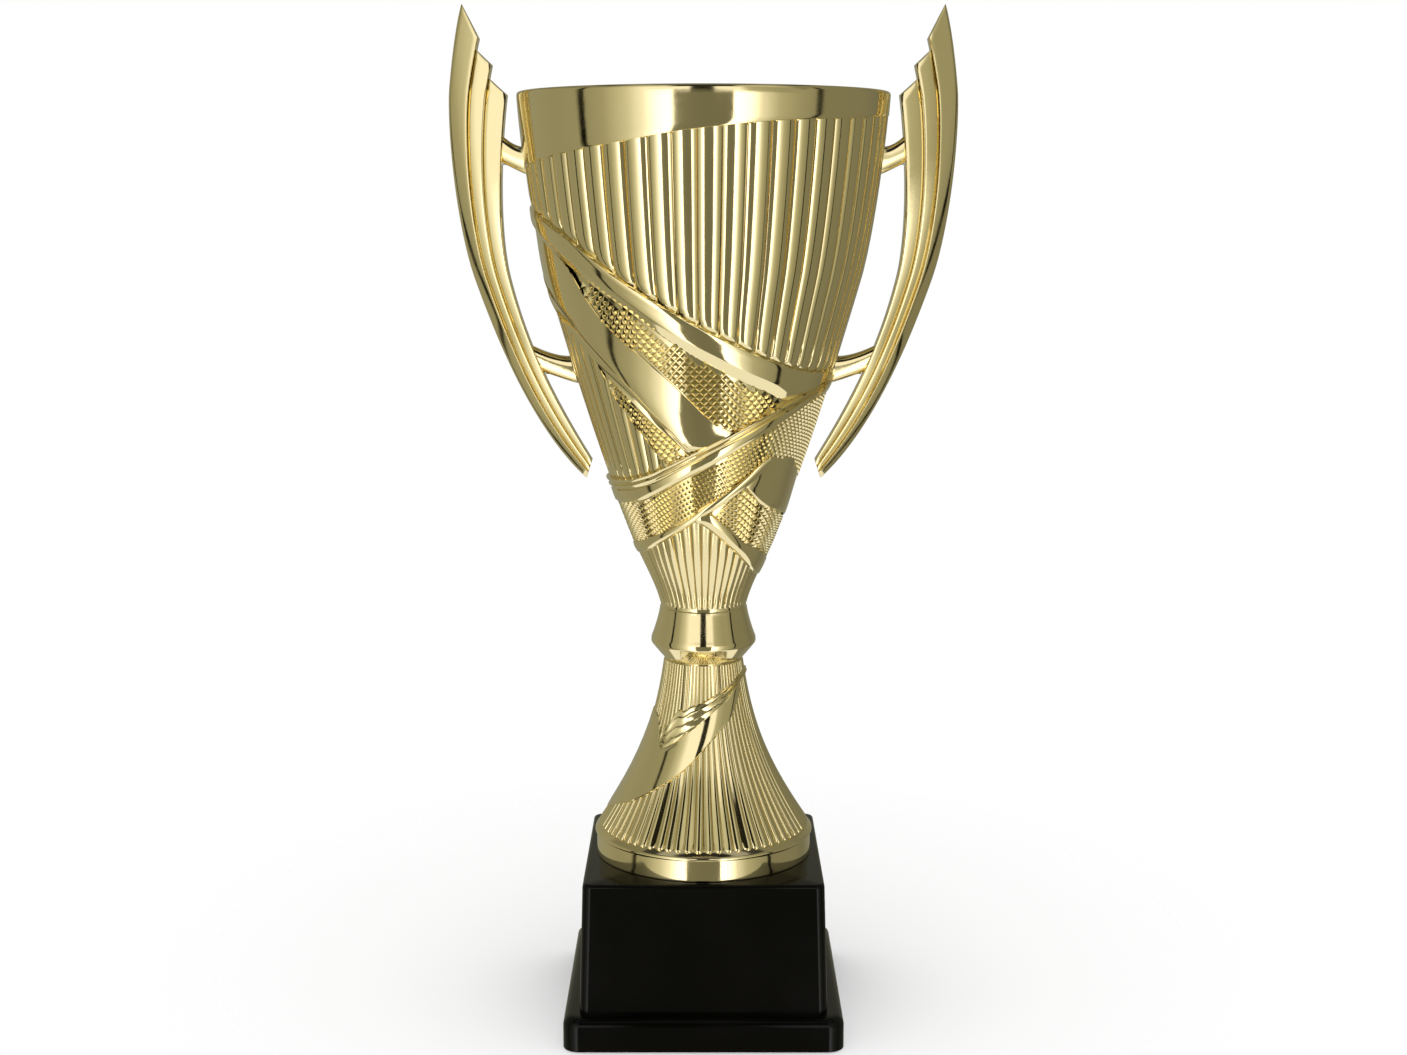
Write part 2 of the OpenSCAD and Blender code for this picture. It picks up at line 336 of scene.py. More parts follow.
def soften(obj: bpy.types.Object, degrees: float) -> None:
    """Shades a mesh smooth, but for edges sharper than an angle."""
    only(obj)
    bpy.ops.object.shade_smooth_by_angle(angle=math.radians(degrees))


def bevelled(obj: bpy.types.Object, width: float, sharp: float) -> bpy.types.Object:
    """Rounds a mesh's sharp edges.

    Args:
        obj: The mesh's object.
        width: The rounding's width in millimetres.
        sharp: The least angle of an edge that is rounded, in radians.

    Returns:
        The same object.
    """
    return modified(obj, "BEVEL", width=width * MM, segments=2, limit_method="ANGLE", angle_limit=sharp)


def rod_x(name: str, x0: float, x1: float, z: float, radius: float, steps: int = 48, rim: float = 0.3,
          sharp: float = 0.8) -> bpy.types.Object:
    """A round pad that lies along X with softened rims.

    Args:
        name: The object's name.
        x0: Where it starts.
        x1: Where it ends.
        z: The height of its middle.
        radius: Its radius.
        steps: Faces around it.
        rim: Width of the softened rims.
        sharp: The least angle of an edge that is softened, in radians.

    Returns:
        The pad's object.
    """
    deselect()
    bpy.ops.mesh.primitive_cylinder_add(
        vertices=steps, radius=radius * MM, depth=abs(x1 - x0) * MM,
        location=((x0 + x1) / 2 * MM, 0, z * MM), rotation=(0, math.pi / 2, 0))
    obj = new_primitive(name)
    settle(obj)
    return bevelled(obj, rim, sharp)


def cad_copy(node: str, name: str) -> bpy.types.Object:
    """A welded copy of a CAD node's mesh.

    Args:
        node: The CAD node.
        name: The copy's name.

    Returns:
        The copy.
    """
    mesh = frame["nodes"][node].data.copy()
    obj = bpy.data.objects.new(name, mesh)
    bpy.context.scene.collection.objects.link(obj)
    mesh.materials.clear()
    weld(obj, face_out=False)
    return obj


# ---------------------------------------------------------------- finishes


class Signal:
    """A socket that takes part in sums, each of which adds a Math node."""

    def __init__(self, bench: "Bench", socket: bpy.types.NodeSocket) -> None:
        """Wraps a socket of a bench's tree."""
        self.bench = bench
        self.socket = socket

    def _math(self, operation: str, *values: Any) -> "Signal":
        """A Math node on values."""
        return self.bench.node("ShaderNodeMath", {"operation": operation}, dict(enumerate(values)))

    def __add__(self, other: Any) -> "Signal":
        """Sum."""
        return self._math("ADD", self, other)

    __radd__ = __add__

    def __mul__(self, other: Any) -> "Signal":
        """Product."""
        return self._math("MULTIPLY", self, other)

    __rmul__ = __mul__

    def __sub__(self, other: Any) -> "Signal":
        """Difference."""
        return self._math("SUBTRACT", self, other)

    def __rsub__(self, other: Any) -> "Signal":
        """Difference from a number."""
        return self._math("SUBTRACT", other, self)

    def __truediv__(self, other: Any) -> "Signal":
        """Quotient."""
        return self._math("DIVIDE", self, other)


class Bench:
    """A material and its node tree."""

    def __init__(self, owner: Any) -> None:
        """Clears the tree of a material or world."""
        owner.use_nodes = True
        self.owner = owner
        self.tree = owner.node_tree
        self.tree.nodes.clear()

    def node(self, kind: str, settings: dict[str, Any] | None = None, inputs: dict[Any, Any] | None = None,
             out: int | str = 0) -> Signal:
        """Adds a node.

        Args:
            kind: The node's type.
            settings: Its properties; "stops" are a ramp's places and colours.
            inputs: Values or signals by the name or number of a socket.
            out: The output that is handed on.

        Returns:
            The output as a signal.
        """
        made = self.tree.nodes.new(kind)
        for key, value in (settings or {}).items():
            if key == "stops":
                ramp = made.color_ramp
                while len(ramp.elements) < len(value):
                    ramp.elements.new(0.5)
                for element, (place, colour) in zip(ramp.elements, value):
                    element.position, element.color = place, (*colour, 1)
            else:
                setattr(made, key, value)
        for key, value in (inputs or {}).items():
            if isinstance(value, Signal):
                self.tree.links.new(value.socket, made.inputs[key])
            else:
                made.inputs[key].default_value = value
        return Signal(self, made.outputs[out])

    def objects(self) -> Signal:
        """Object coordinates."""
        return self.node("ShaderNodeTexCoord", out="Object")

    def noise(self, scale: float, detail: float = 2, rough: float = 0.5) -> Signal:
        """Noise on the object, from 0 to 1, with a scale in waves per metre."""
        return self.node("ShaderNodeTexNoise", {}, {
            "Vector": self.objects(), "Scale": scale, "Detail": detail, "Roughness": rough})

    def spread(self, value: Signal, low: float, high: float, to_low: float, to_high: float) -> Signal:
        """Maps a range of a value onto another, and holds it at the ends."""
        return self.node("ShaderNodeMapRange", {"clamp": True}, {
            "Value": value, "From Min": low, "From Max": high, "To Min": to_low, "To Max": to_high})

    def blend(self, share: Any, first: Any, second: Any) -> Signal:
        """A colour between two colours."""
        return self.node("ShaderNodeMix", {"data_type": "RGBA"}, {0: share, 6: first, 7: second}, 2)

    def bump(self, height: Signal, depth: float, strength: float) -> Signal:
        """A bump from a height, whose full depth is in metres."""
        return self.node("ShaderNodeBump", {}, {"Height": height, "Distance": depth, "Strength": strength})

    def finish(self, sockets: dict[str, Any]) -> Any:
        """Adds the shader and the output.

        Args:
            sockets: Values or signals of the Principled shader.

        Returns:
            The material.
        """
        shader = self.node("ShaderNodeBsdfPrincipled", {}, sockets)
        self.close("ShaderNodeOutputMaterial", shader)
        return self.owner

    def close(self, kind: str, shader: Signal) -> None:
        """Adds the tree's output node, of a given type, for a shader."""
        made = self.tree.nodes.new(kind)
        self.tree.links.new(shader.socket, made.inputs["Surface"])


@dataclass(frozen=True)
class GoldPlating:
    """Vacuum-metallised plastic under a clear lacquer. Scales are in waves per metre."""

    colour: Colour = (0.87, 0.755, 0.43, 1)
    warm: Colour = (0.85, 0.71, 0.37, 1)
    most_warm: float = 0.55
    gloss: Span = (0.055, 0.12)
    cloud: float = 28
    smear: float = 95
    speck: float = 2600
    speck_rough: float = 0.05
    peel: float = 420
    fine_peel: float = 1500
    fine_share: float = 0.25
    peel_depth: float = 0.00002
    peel_strength: float = 0.35
    coat: float = 0.15
    coat_rough: float = 0.04

    def make(self) -> bpy.types.Material:
        """Builds the material."""
        b = Bench(bpy.data.materials.new("gold_metallised_plastic"))
        cloud = b.noise(self.cloud, 3)
        smear = b.noise(self.smear, 4, 0.6)
        speck = b.spread(b.noise(self.speck), 0.66, 0.74, 0, 1)
        peel = b.noise(self.peel) + b.noise(self.fine_peel) * self.fine_share
        return b.finish({
            "Base Color": b.blend(b.spread(cloud, 0.35, 0.75, 0, self.most_warm), self.colour, self.warm),
            "Metallic": 1.0,
            "Roughness": b.spread(smear, 0.35, 0.7, *self.gloss) + speck * self.speck_rough,
            "Coat Weight": self.coat, "Coat Roughness": self.coat_rough,
            "Normal": b.bump(peel, self.peel_depth, self.peel_strength)})


@dataclass(frozen=True)
class GlossPlastic:
    """Injection-moulded plastic with a polished skin and faint handling marks."""

    colour: Colour = (0.0012, 0.0012, 0.001, 1)
    dusty: Colour = (0.003, 0.0028, 0.0024, 1)
    most_dusty: float = 0.6
    ior: float = 1.27
    gloss: Span = (0.09, 0.19)
    haze: float = 34
    speck: float = 3000
    speck_dusty: float = 0.3
    speck_rough: float = 0.08
    ripple: float = 60
    fine_ripple: float = 900
    fine_share: float = 0.12
    ripple_depth: float = 0.00005
    ripple_strength: float = 0.25

    def make(self) -> bpy.types.Material:
        """Builds the material."""
        b = Bench(bpy.data.materials.new("black_gloss_plastic"))
        haze = b.noise(self.haze, 4, 0.55)
        speck = b.spread(b.noise(self.speck), 0.7, 0.76, 0, 1)
        ripple = b.noise(self.ripple, 1) + b.noise(self.fine_ripple) * self.fine_share
        share = b.spread(haze, 0.4, 0.75, 0, self.most_dusty) + speck * self.speck_dusty
        return b.finish({
            "Base Color": b.blend(share, self.colour, self.dusty),
            "Roughness": b.spread(haze, 0.3, 0.75, *self.gloss) + speck * self.speck_rough,
            "IOR": self.ior,
            "Normal": b.bump(ripple, self.ripple_depth, self.ripple_strength)})


@dataclass(frozen=True)
class BareMetal:
    """Metal with a dull skin, blotches and fine turning marks."""

    name: str
    colour: Colour
    blotch: Colour
    metallic: float
    gloss: Span
    grain: float
    patch: float = 180
    grain_rough: float = 0.06
    grain_depth: float = 0.00004
    grain_strength: float = 0.5

    def make(self) -> bpy.types.Material:
        """Builds the material."""
        b = Bench(bpy.data.materials.new(self.name))
        patch = b.noise(self.patch, 5, 0.6)
        grit = b.noise(self.grain, 3)
        return b.finish({
            "Base Color": b.blend(b.spread(patch, 0.42, 0.68, 0, 1), self.colour, self.blotch),
            "Metallic": self.metallic,
            "Roughness": b.spread(patch, 0.3, 0.75, *self.gloss) + grit * self.grain_rough,
            "Normal": b.bump(grit, self.grain_depth, self.grain_strength)})


ZINC_STEEL = BareMetal("zinc_plated_steel", colour=(0.62, 0.63, 0.64, 1), blotch=(0.5, 0.49, 0.44, 1),
                       metallic=1.0, gloss=(0.22, 0.36), grain=2400)
RAW_IRON = BareMetal("raw_cast_iron", colour=(0.075, 0.07, 0.066, 1), blotch=(0.11, 0.06, 0.035, 1),
                     metallic=0.75, gloss=(0.5, 0.75), grain=1500)


@dataclass(frozen=True)
class PressedBoard:
    """Brown hardboard with pressed fibres."""

    light: Colour = (0.24, 0.135, 0.066, 1)
    dark: Colour = (0.12, 0.062, 0.03, 1)
    gloss: Span = (0.62, 0.85)
    fibre: float = 700
    fibre_share: float = 0.7
    cloud: float = 60
    cloud_share: float = 0.3
    fibre_depth: float = 0.00012
    fibre_strength: float = 0.6

    def make(self) -> bpy.types.Material:
        """Builds the material."""
        b = Bench(bpy.data.materials.new("pressed_fibreboard"))
        fibres = b.noise(self.fibre, 6, 0.7)
        mixed = fibres * self.fibre_share + b.noise(self.cloud, 3) * self.cloud_share
        return b.finish({
            "Base Color": b.blend(b.spread(mixed, 0.36, 0.62, 0, 1), self.dark, self.light),
            "Roughness": b.spread(fibres, 0.3, 0.7, *self.gloss),
            "Normal": b.bump(fibres, self.fibre_depth, self.fibre_strength)})


@dataclass(frozen=True)
class Felt:
    """Black needle felt with pale lint."""

    dark: Colour = (0.011, 0.011, 0.012, 1)
    pale: Colour = (0.045, 0.044, 0.043, 1)
    rough: float = 0.95
    sheen: float = 0.35
    sheen_rough: float = 0.5
    fuzz: float = 1900
    fuzz_share: float = 0.6
    mat: float = 260
    mat_share: float = 0.4
    fuzz_depth: float = 0.0003
    fuzz_strength: float = 0.8

    def make(self) -> bpy.types.Material:
        """Builds the material."""
        b = Bench(bpy.data.materials.new("black_felt"))
        fuzz = b.noise(self.fuzz, 5, 0.75)
        mat = b.noise(self.mat, 4, 0.6)
        mixed = fuzz * self.fuzz_share + mat * self.mat_share
        return b.finish({
            "Base Color": b.blend(b.spread(mixed, 0.4, 0.66, 0, 1), self.dark, self.pale),
            "Roughness": self.rough, "Sheen Weight": self.sheen, "Sheen Roughness": self.sheen_rough,
            "Normal": b.bump(fuzz + mat, self.fuzz_depth, self.fuzz_strength)})


# ---------------------------------------------------------------- pieces


class Piece(ABC):
    """A moulding that is built as a mesh and stands for one CAD node."""

    slot = Slot.GOLD

    @abstractmethod
    def stands_for(self) -> str:
        """The name of its CAD node."""

    @abstractmethod
    def build(self) -> bpy.types.Object:
        """Builds it as one mesh."""

    def dress(self, obj: bpy.types.Object, finish: bpy.types.Material) -> None:
        """Gives the built mesh its finish and ties it to the frame.

        Args:
            obj: The built mesh.
            finish: Its material.
        """
        obj.data.materials.clear()
        obj.data.materials.append(finish)
        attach(obj, BODY)
        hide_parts(self.stands_for())
        obj.data.calc_loop_triangles()
        log.info("%s: %d triangles", obj.name, len(obj.data.loop_triangles))


# ---------------------------------------------------------------- cup


@dataclass(frozen=True)
class CupWall:
    """The cup's outer curve, which every piece of relief is laid on."""

    foot_z: float = 140.0
    height: float = 168.5
    neck_r: float = 14.4
    gain_r: float = 45.9
    curves: tuple = (
        ((0, 0), (0.033, 0.044), (0.159, 0.101), (0.222, 0.148)),
        ((0.222, 0.148), (0.442, 0.301), (0.658, 0.498), (0.821, 0.653)),
        ((0.821, 0.653), (0.9, 0.734), (0.983, 0.913), (1, 1)),
    )

    @property
    def rim_z(self) -> float:
        """Height of the rim."""
        return self.foot_z + self.height

    def radius(self, z: Points) -> Points:
        """The curve's radius.

        Args:
            z: Heights.

        Returns:
            The radius at each height.
        """
        t = np.linspace(0, 1, 60)
        line = np.concatenate([bezier(c, t)[:-1] for c in self.curves] + [np.array([[1.0, 1.0]])])
        return np.interp((np.asarray(z, float) - self.foot_z) / self.height, line[:, 1],
                         self.neck_r + self.gain_r * line[:, 0])

    def lay(self, angle: Points, z: Points, lift: Points) -> Points:
        """Places on the wall.

        Args:
            angle: Degrees from the front, growing to the right.
            z: Heights.
            lift: Distance off the wall.

        Returns:
            One row for each place.
        """
        r = self.radius(z) + lift
        turn = np.radians(angle)
        return np.stack([r * np.sin(turn), -r * np.cos(turn), np.broadcast_to(z, r.shape)], axis=-1)


@dataclass(frozen=True)
class StemWall(CupWall):
    """The stem's flare."""

    foot_z: float = 64.4
    height: float = 57.9
    curve: tuple = ((36.0, 64.4), (22.8, 83.9), (16.4, 98.1), (13.2, 122.3))

    def radius(self, z: Points) -> Points:
        """The flare's radius at a height."""
        line = bezier(self.curve, np.linspace(0, 1, 80))
        return np.interp(np.asarray(z, float), line[:, 1], line[:, 0])


@dataclass(frozen=True)
class Profile:
    """How a ribbon's face rises across it: share of its width, extra height and lift off the wall."""

    rows: tuple[tuple[float, float, float], ...]


FLAT_RIBBON = Profile(((0, -0.7, -1.35), (0, -0.35, -0.2), (0, 0, 0.22), (0, 0.4, 0.42), (0.5, 0, 0.55),
                       (1, -0.4, 0.42), (1, 0, 0.22), (1, 0.2, -0.2), (1, 0.35, -1.35)))
HOLLOW_RIBBON = Profile(((0, -0.6, -1.3), (0, -0.3, 0.0), (0, 0.15, 0.5), (0, 0.6, 0.42), (0.5, 0, 0.02),
                         (1, -0.6, 0.42), (1, -0.15, 0.5), (1, 0.3, 0.0), (1, 0.5, -1.3)))
RIDGED_RIBBON = Profile(((0, -0.6, -1.2), (0, -0.25, 0.1), (0, 0.3, 0.6), (0.25, 0, 0.66), (0.5, 0, 0.6),
                         (0.56, 0, 0.15), (0.62, 0, 0.2), (0.68, 0, 0.8), (0.72, 0, 0.85), (0.77, 0, 0.3),
                         (0.82, 0, 0.25), (0.9, 0, 0.85), (1, -0.1, 0.9), (1, 0.15, 0.2), (1, 0.4, -1.2)))
BED = Profile(((0, -0.8, -0.8), (0.25, 0, -0.8), (0.5, 0, -0.8), (0.75, 0, -0.8), (1, 0.8, -0.8)))
STEPPED_SASH = Profile(((0, -0.6, -1.2), (0, 0, -0.75), (0, 0.3, -0.6), (0.3, -0.5, 0.1), (0.33, 0.0, 0.42),
                        (0.42, 0, 0.5), (0.6, 0, 0.46), (0.8, 0, 0.4), (1, -0.45, 0.36), (1, -0.1, 0.2),
                        (1, 0.15, -0.2), (1, 0.3, -1.4)))
SWEPT_RIBBON = Profile(((0, -0.5, -1.0), (0, -0.15, 0.1), (0, 0.25, 0.5), (0.1, 0, 0.56), (0.25, 0, 0.62),
                        (0.4, 0, 0.64), (0.55, 0, 0.62), (0.7, 0, 0.56), (0.85, 0, 0.46), (1, -0.2, 0.34),
                        (1, 0, 0.1), (1, 0.2, -0.9)))
CROWNED_PATCH = Profile(((0, -0.6, -1.3), (0, -0.3, -0.2), (0, 0.2, 0.2), (0.12, 0, 0.24), (0.25, 0, 0.16),
                         (0.4, 0, 0.04), (0.55, 0, -0.1), (0.7, 0, -0.24), (0.85, 0, -0.36), (1, 0.4, -0.5)))


@dataclass
class Relief:
    """Lays ribbons, reeds and studs on a wall of revolution."""

    wall: CupWall
    skin: float = 0.35
    slit: float = 0.3
    slit_radius: float = 50.0
    least_slit: float = 0.3
    least_width: float = 0.02
    full_width: float = 2.5
    least_fit: float = 0.05
    root: float = 0.3
    least_reed: float = 0.05
    most_rounded: float = 0.4
    lean_sink: float = 0.4
    stud_foot: float = 0.69
    stud_tip: float = 0.2
    stud_reach: int = 90
    parts: list[bpy.types.Object] = field(default_factory=list)

    def keep(self, obj: bpy.types.Object) -> None:
        """Gives a laid sheet its thickness and keeps it."""
        weld(obj, face_out=False)
        modified(obj, "SOLIDIFY", thickness=self.skin * MM, offset=-1)
        self.parts.append(obj)

    def ribbon(self, name: str, low: Line, high: Line, span: Span, profile: Profile, step: float = 2.0) -> None:
        """Lays a strip between two lines.

        Args:
            name: The strip's name.
            low: Its lower edge.
            high: Its upper edge.
            span: The angles where it starts and ends.
            profile: How it rises across.
            step: Degrees for each column of faces.
        """
        rows = np.array(profile.rows)
        last = len(rows) - 1
        columns = max(2, round((span[1] - span[0]) / step))

        def place(u: Points, v: Points) -> Points:
            """Lays the grid.

            Args:
                u: Shares of its width.
                v: Shares of its height.

            Returns:
                The places in millimetres.
            """
            angle = span[0] + (span[1] - span[0]) * u
            k = np.rint(v * last).astype(int)
            lo = low.at(angle)
            width = np.maximum(high.at(angle) - lo, self.least_width)
            # A narrow ribbon rises less
            fit = np.clip(width / self.full_width, self.least_fit, 1)
            z = lo + width * rows[k, 0] + rows[k, 1] * fit
            rise = rows[k, 2]
            lift = np.where(rise > -self.root, rise * fit - self.root * (1 - fit), rise)
            return self.wall.lay(angle, z, lift)

        self.keep(wrapped(name, columns, last, place))

    def reeds(self, name: str, low: Line, high: Line, span: Span, pitch: float, start: float, crest: float,
              depth: float, rounded: float = 3.0, across: int = 8, rows: int = 12, uneven: float = 0.0) -> None:
        """Lays upright half-round reeds side by side.

        Args:
            name: The sheet's name.
            low: Where the reeds' rounded ends stand.
            high: Where they stop at the top.
            span: The angles where they start and end.
            pitch: Degrees for each reed.
            start: The angle of one groove.
            crest: Lift of a reed's crest.
            depth: A groove's depth as a share of the radius.
            rounded: Length of the rounded end.
            across: Faces across one reed.
            rows: Faces along one reed above its rounded end.
            uneven: How much the reeds differ in height and lean, as a share of their depth.
        """
        first = math.floor((span[0] - start) / pitch)
        count = math.ceil((span[1] - start) / pitch) - first
        total = len(REED_TIP) - 1 + rows

        def place(u: Points, v: Points) -> Points:
            """Lays the grid.

            Args:
                u: Shares of its width.
                v: Shares of its height.

            Returns:
                The places in millimetres.
            """
            j = np.rint(u * count * across)
            reed = np.minimum(j // across, count - 1)
            p = (1 - np.cos(np.pi * (j - reed * across) / across)) / 2
            angle = np.clip(start + (first + reed + p) * pitch, *span)
            k = np.rint(v * total).astype(int)
            lo = low.at(angle)
            tall = np.maximum(high.at(angle) - lo, self.least_reed)
            end = np.minimum(rounded, tall * self.most_rounded)
            near = np.array(REED_TIP + (1.0,) * rows)[k]
            far = np.clip((k - len(REED_TIP) + 1) / rows, 0, 1)
            z = lo + end * near + (tall - end) * far
            dome = np.sqrt(np.clip(1 - (1 - near) ** 2, 0, 1))
            # The rounded end narrows, so the ends of neighbours part
            side = np.abs(2 * p - 1)
            body = np.sqrt(np.clip(1 - side**2, 0, 1))
            height = np.where(near < 1, np.sqrt(np.clip(dome**2 - side**2, 0, 1)), body)
            radius = self.wall.radius(z)
            slit = self.slit * np.clip(radius / self.slit_radius, self.least_slit, 1) * (side > 0.999)
            chance = np.where(reed == 0, 0, scatter(first + reed + 1))
            lean = uneven * near * body * (chance * (2 * p - 1) - self.lean_sink * np.abs(chance))
            lift = crest - depth * radius * (1 - height - lean) - slit
            return self.wall.lay(angle, z, lift)

        self.keep(wrapped(name, count * across, total, place))

    def _stud(self, name: str, pitch: float, height: float) -> tuple[Points, list[tuple[int, ...]]]:
        """One four-sided stud, open at its foot.

        Args:
            name: The studs' name.
            pitch: Distance between studs.
            height: How far a stud stands up.

        Returns:
            Its points, with the foot at zero, and its faces.
        """
        deselect()
        bpy.ops.mesh.primitive_cone_add(
            vertices=4, radius1=pitch * self.stud_foot, radius2=pitch * self.stud_tip, depth=height,
            end_fill_type="NGON", rotation=(0, 0, math.radians(45)))
        model = new_primitive(name + "_model")
        settle(model)
        shape = points_of(model) + (0, 0, height / 2)
        faces = [tuple(f.vertices) for f in model.data.polygons if f.normal.z > -0.5]
        bpy.data.objects.remove(model)
        return shape, faces

    def studs(self, name: str, low: Line, high: Line, span: Span, pitch: float, lean: float, height: float,
              mean_z: float, seat: float = -0.85, margin: float = 0.75) -> None:
        """Sets rows of four-sided studs in the bed between two lines, on the front and the back.

        Args:
            name: The studs' name.
            low: Lower edge of the bed.
            high: Upper edge of the bed.
            span: The angles where it starts and ends.
            pitch: Distance between studs.
            lean: Angle of the rows to the level, in degrees.
            height: How far a stud stands up.
            mean_z: A height in the middle of the bed.
            seat: Lift of a stud's foot.
            margin: Least distance from a stud's middle to an edge.
        """
        shape, faces = self._stud(name, pitch, height)
        lean_r = math.radians(lean)
        reach = np.arange(-self.stud_reach, self.stud_reach + 1)
        i, j = (g.ravel() for g in np.meshgrid(reach, reach))
        s = pitch * (i * math.cos(lean_r) - j * math.sin(lean_r))
        z = mean_z + pitch * (i * math.sin(lean_r) + j * math.cos(lean_r))
        angle = s / (math.radians(1) * float(self.wall.radius(mean_z)))
        inside = ((angle > span[0]) & (angle < span[1]) & (z > low.at(angle) + margin)
                  & (z < high.at(angle) - margin))
        angle, z = angle[inside], z[inside]
        angle = np.concatenate([angle, 180 - angle])
        z = np.concatenate([z, z])
        mirror = np.where(np.arange(len(angle)) < len(angle) / 2, 1.0, -1.0)

        foot = self.wall.lay(angle, z, np.full(len(z), seat))
        turn = np.radians(angle)
        along = np.stack([np.cos(turn), np.sin(turn), np.zeros_like(turn)], axis=-1)
        up = self.wall.lay(angle, z + 0.5, 0 * z) - self.wall.lay(angle, z - 0.5, 0 * z)
        up /= np.linalg.norm(up, axis=1, keepdims=True)
        out = np.cross(along, up)
        a = along * math.cos(lean_r) + up * (math.sin(lean_r) * mirror)[:, None]
        b = np.cross(out, a)
        places = (foot[:, None, :] + a[:, None, :] * shape[None, :, 0:1] + b[:, None, :] * shape[None, :, 1:2]
                  + out[:, None, :] * shape[None, :, 2:3]).reshape(-1, 3)
        n = len(shape)
        all_faces = [tuple(v + n * k for v in f) for k in range(len(angle)) for f in faces]
        mesh = bpy.data.meshes.new(name)
        mesh.from_pydata((places * MM).tolist(), [], all_faces)
        obj = bpy.data.objects.new(name, mesh)
        bpy.context.scene.collection.objects.link(obj)
        self.parts.append(obj)
        log.info("%s: %d studs", name, len(angle))


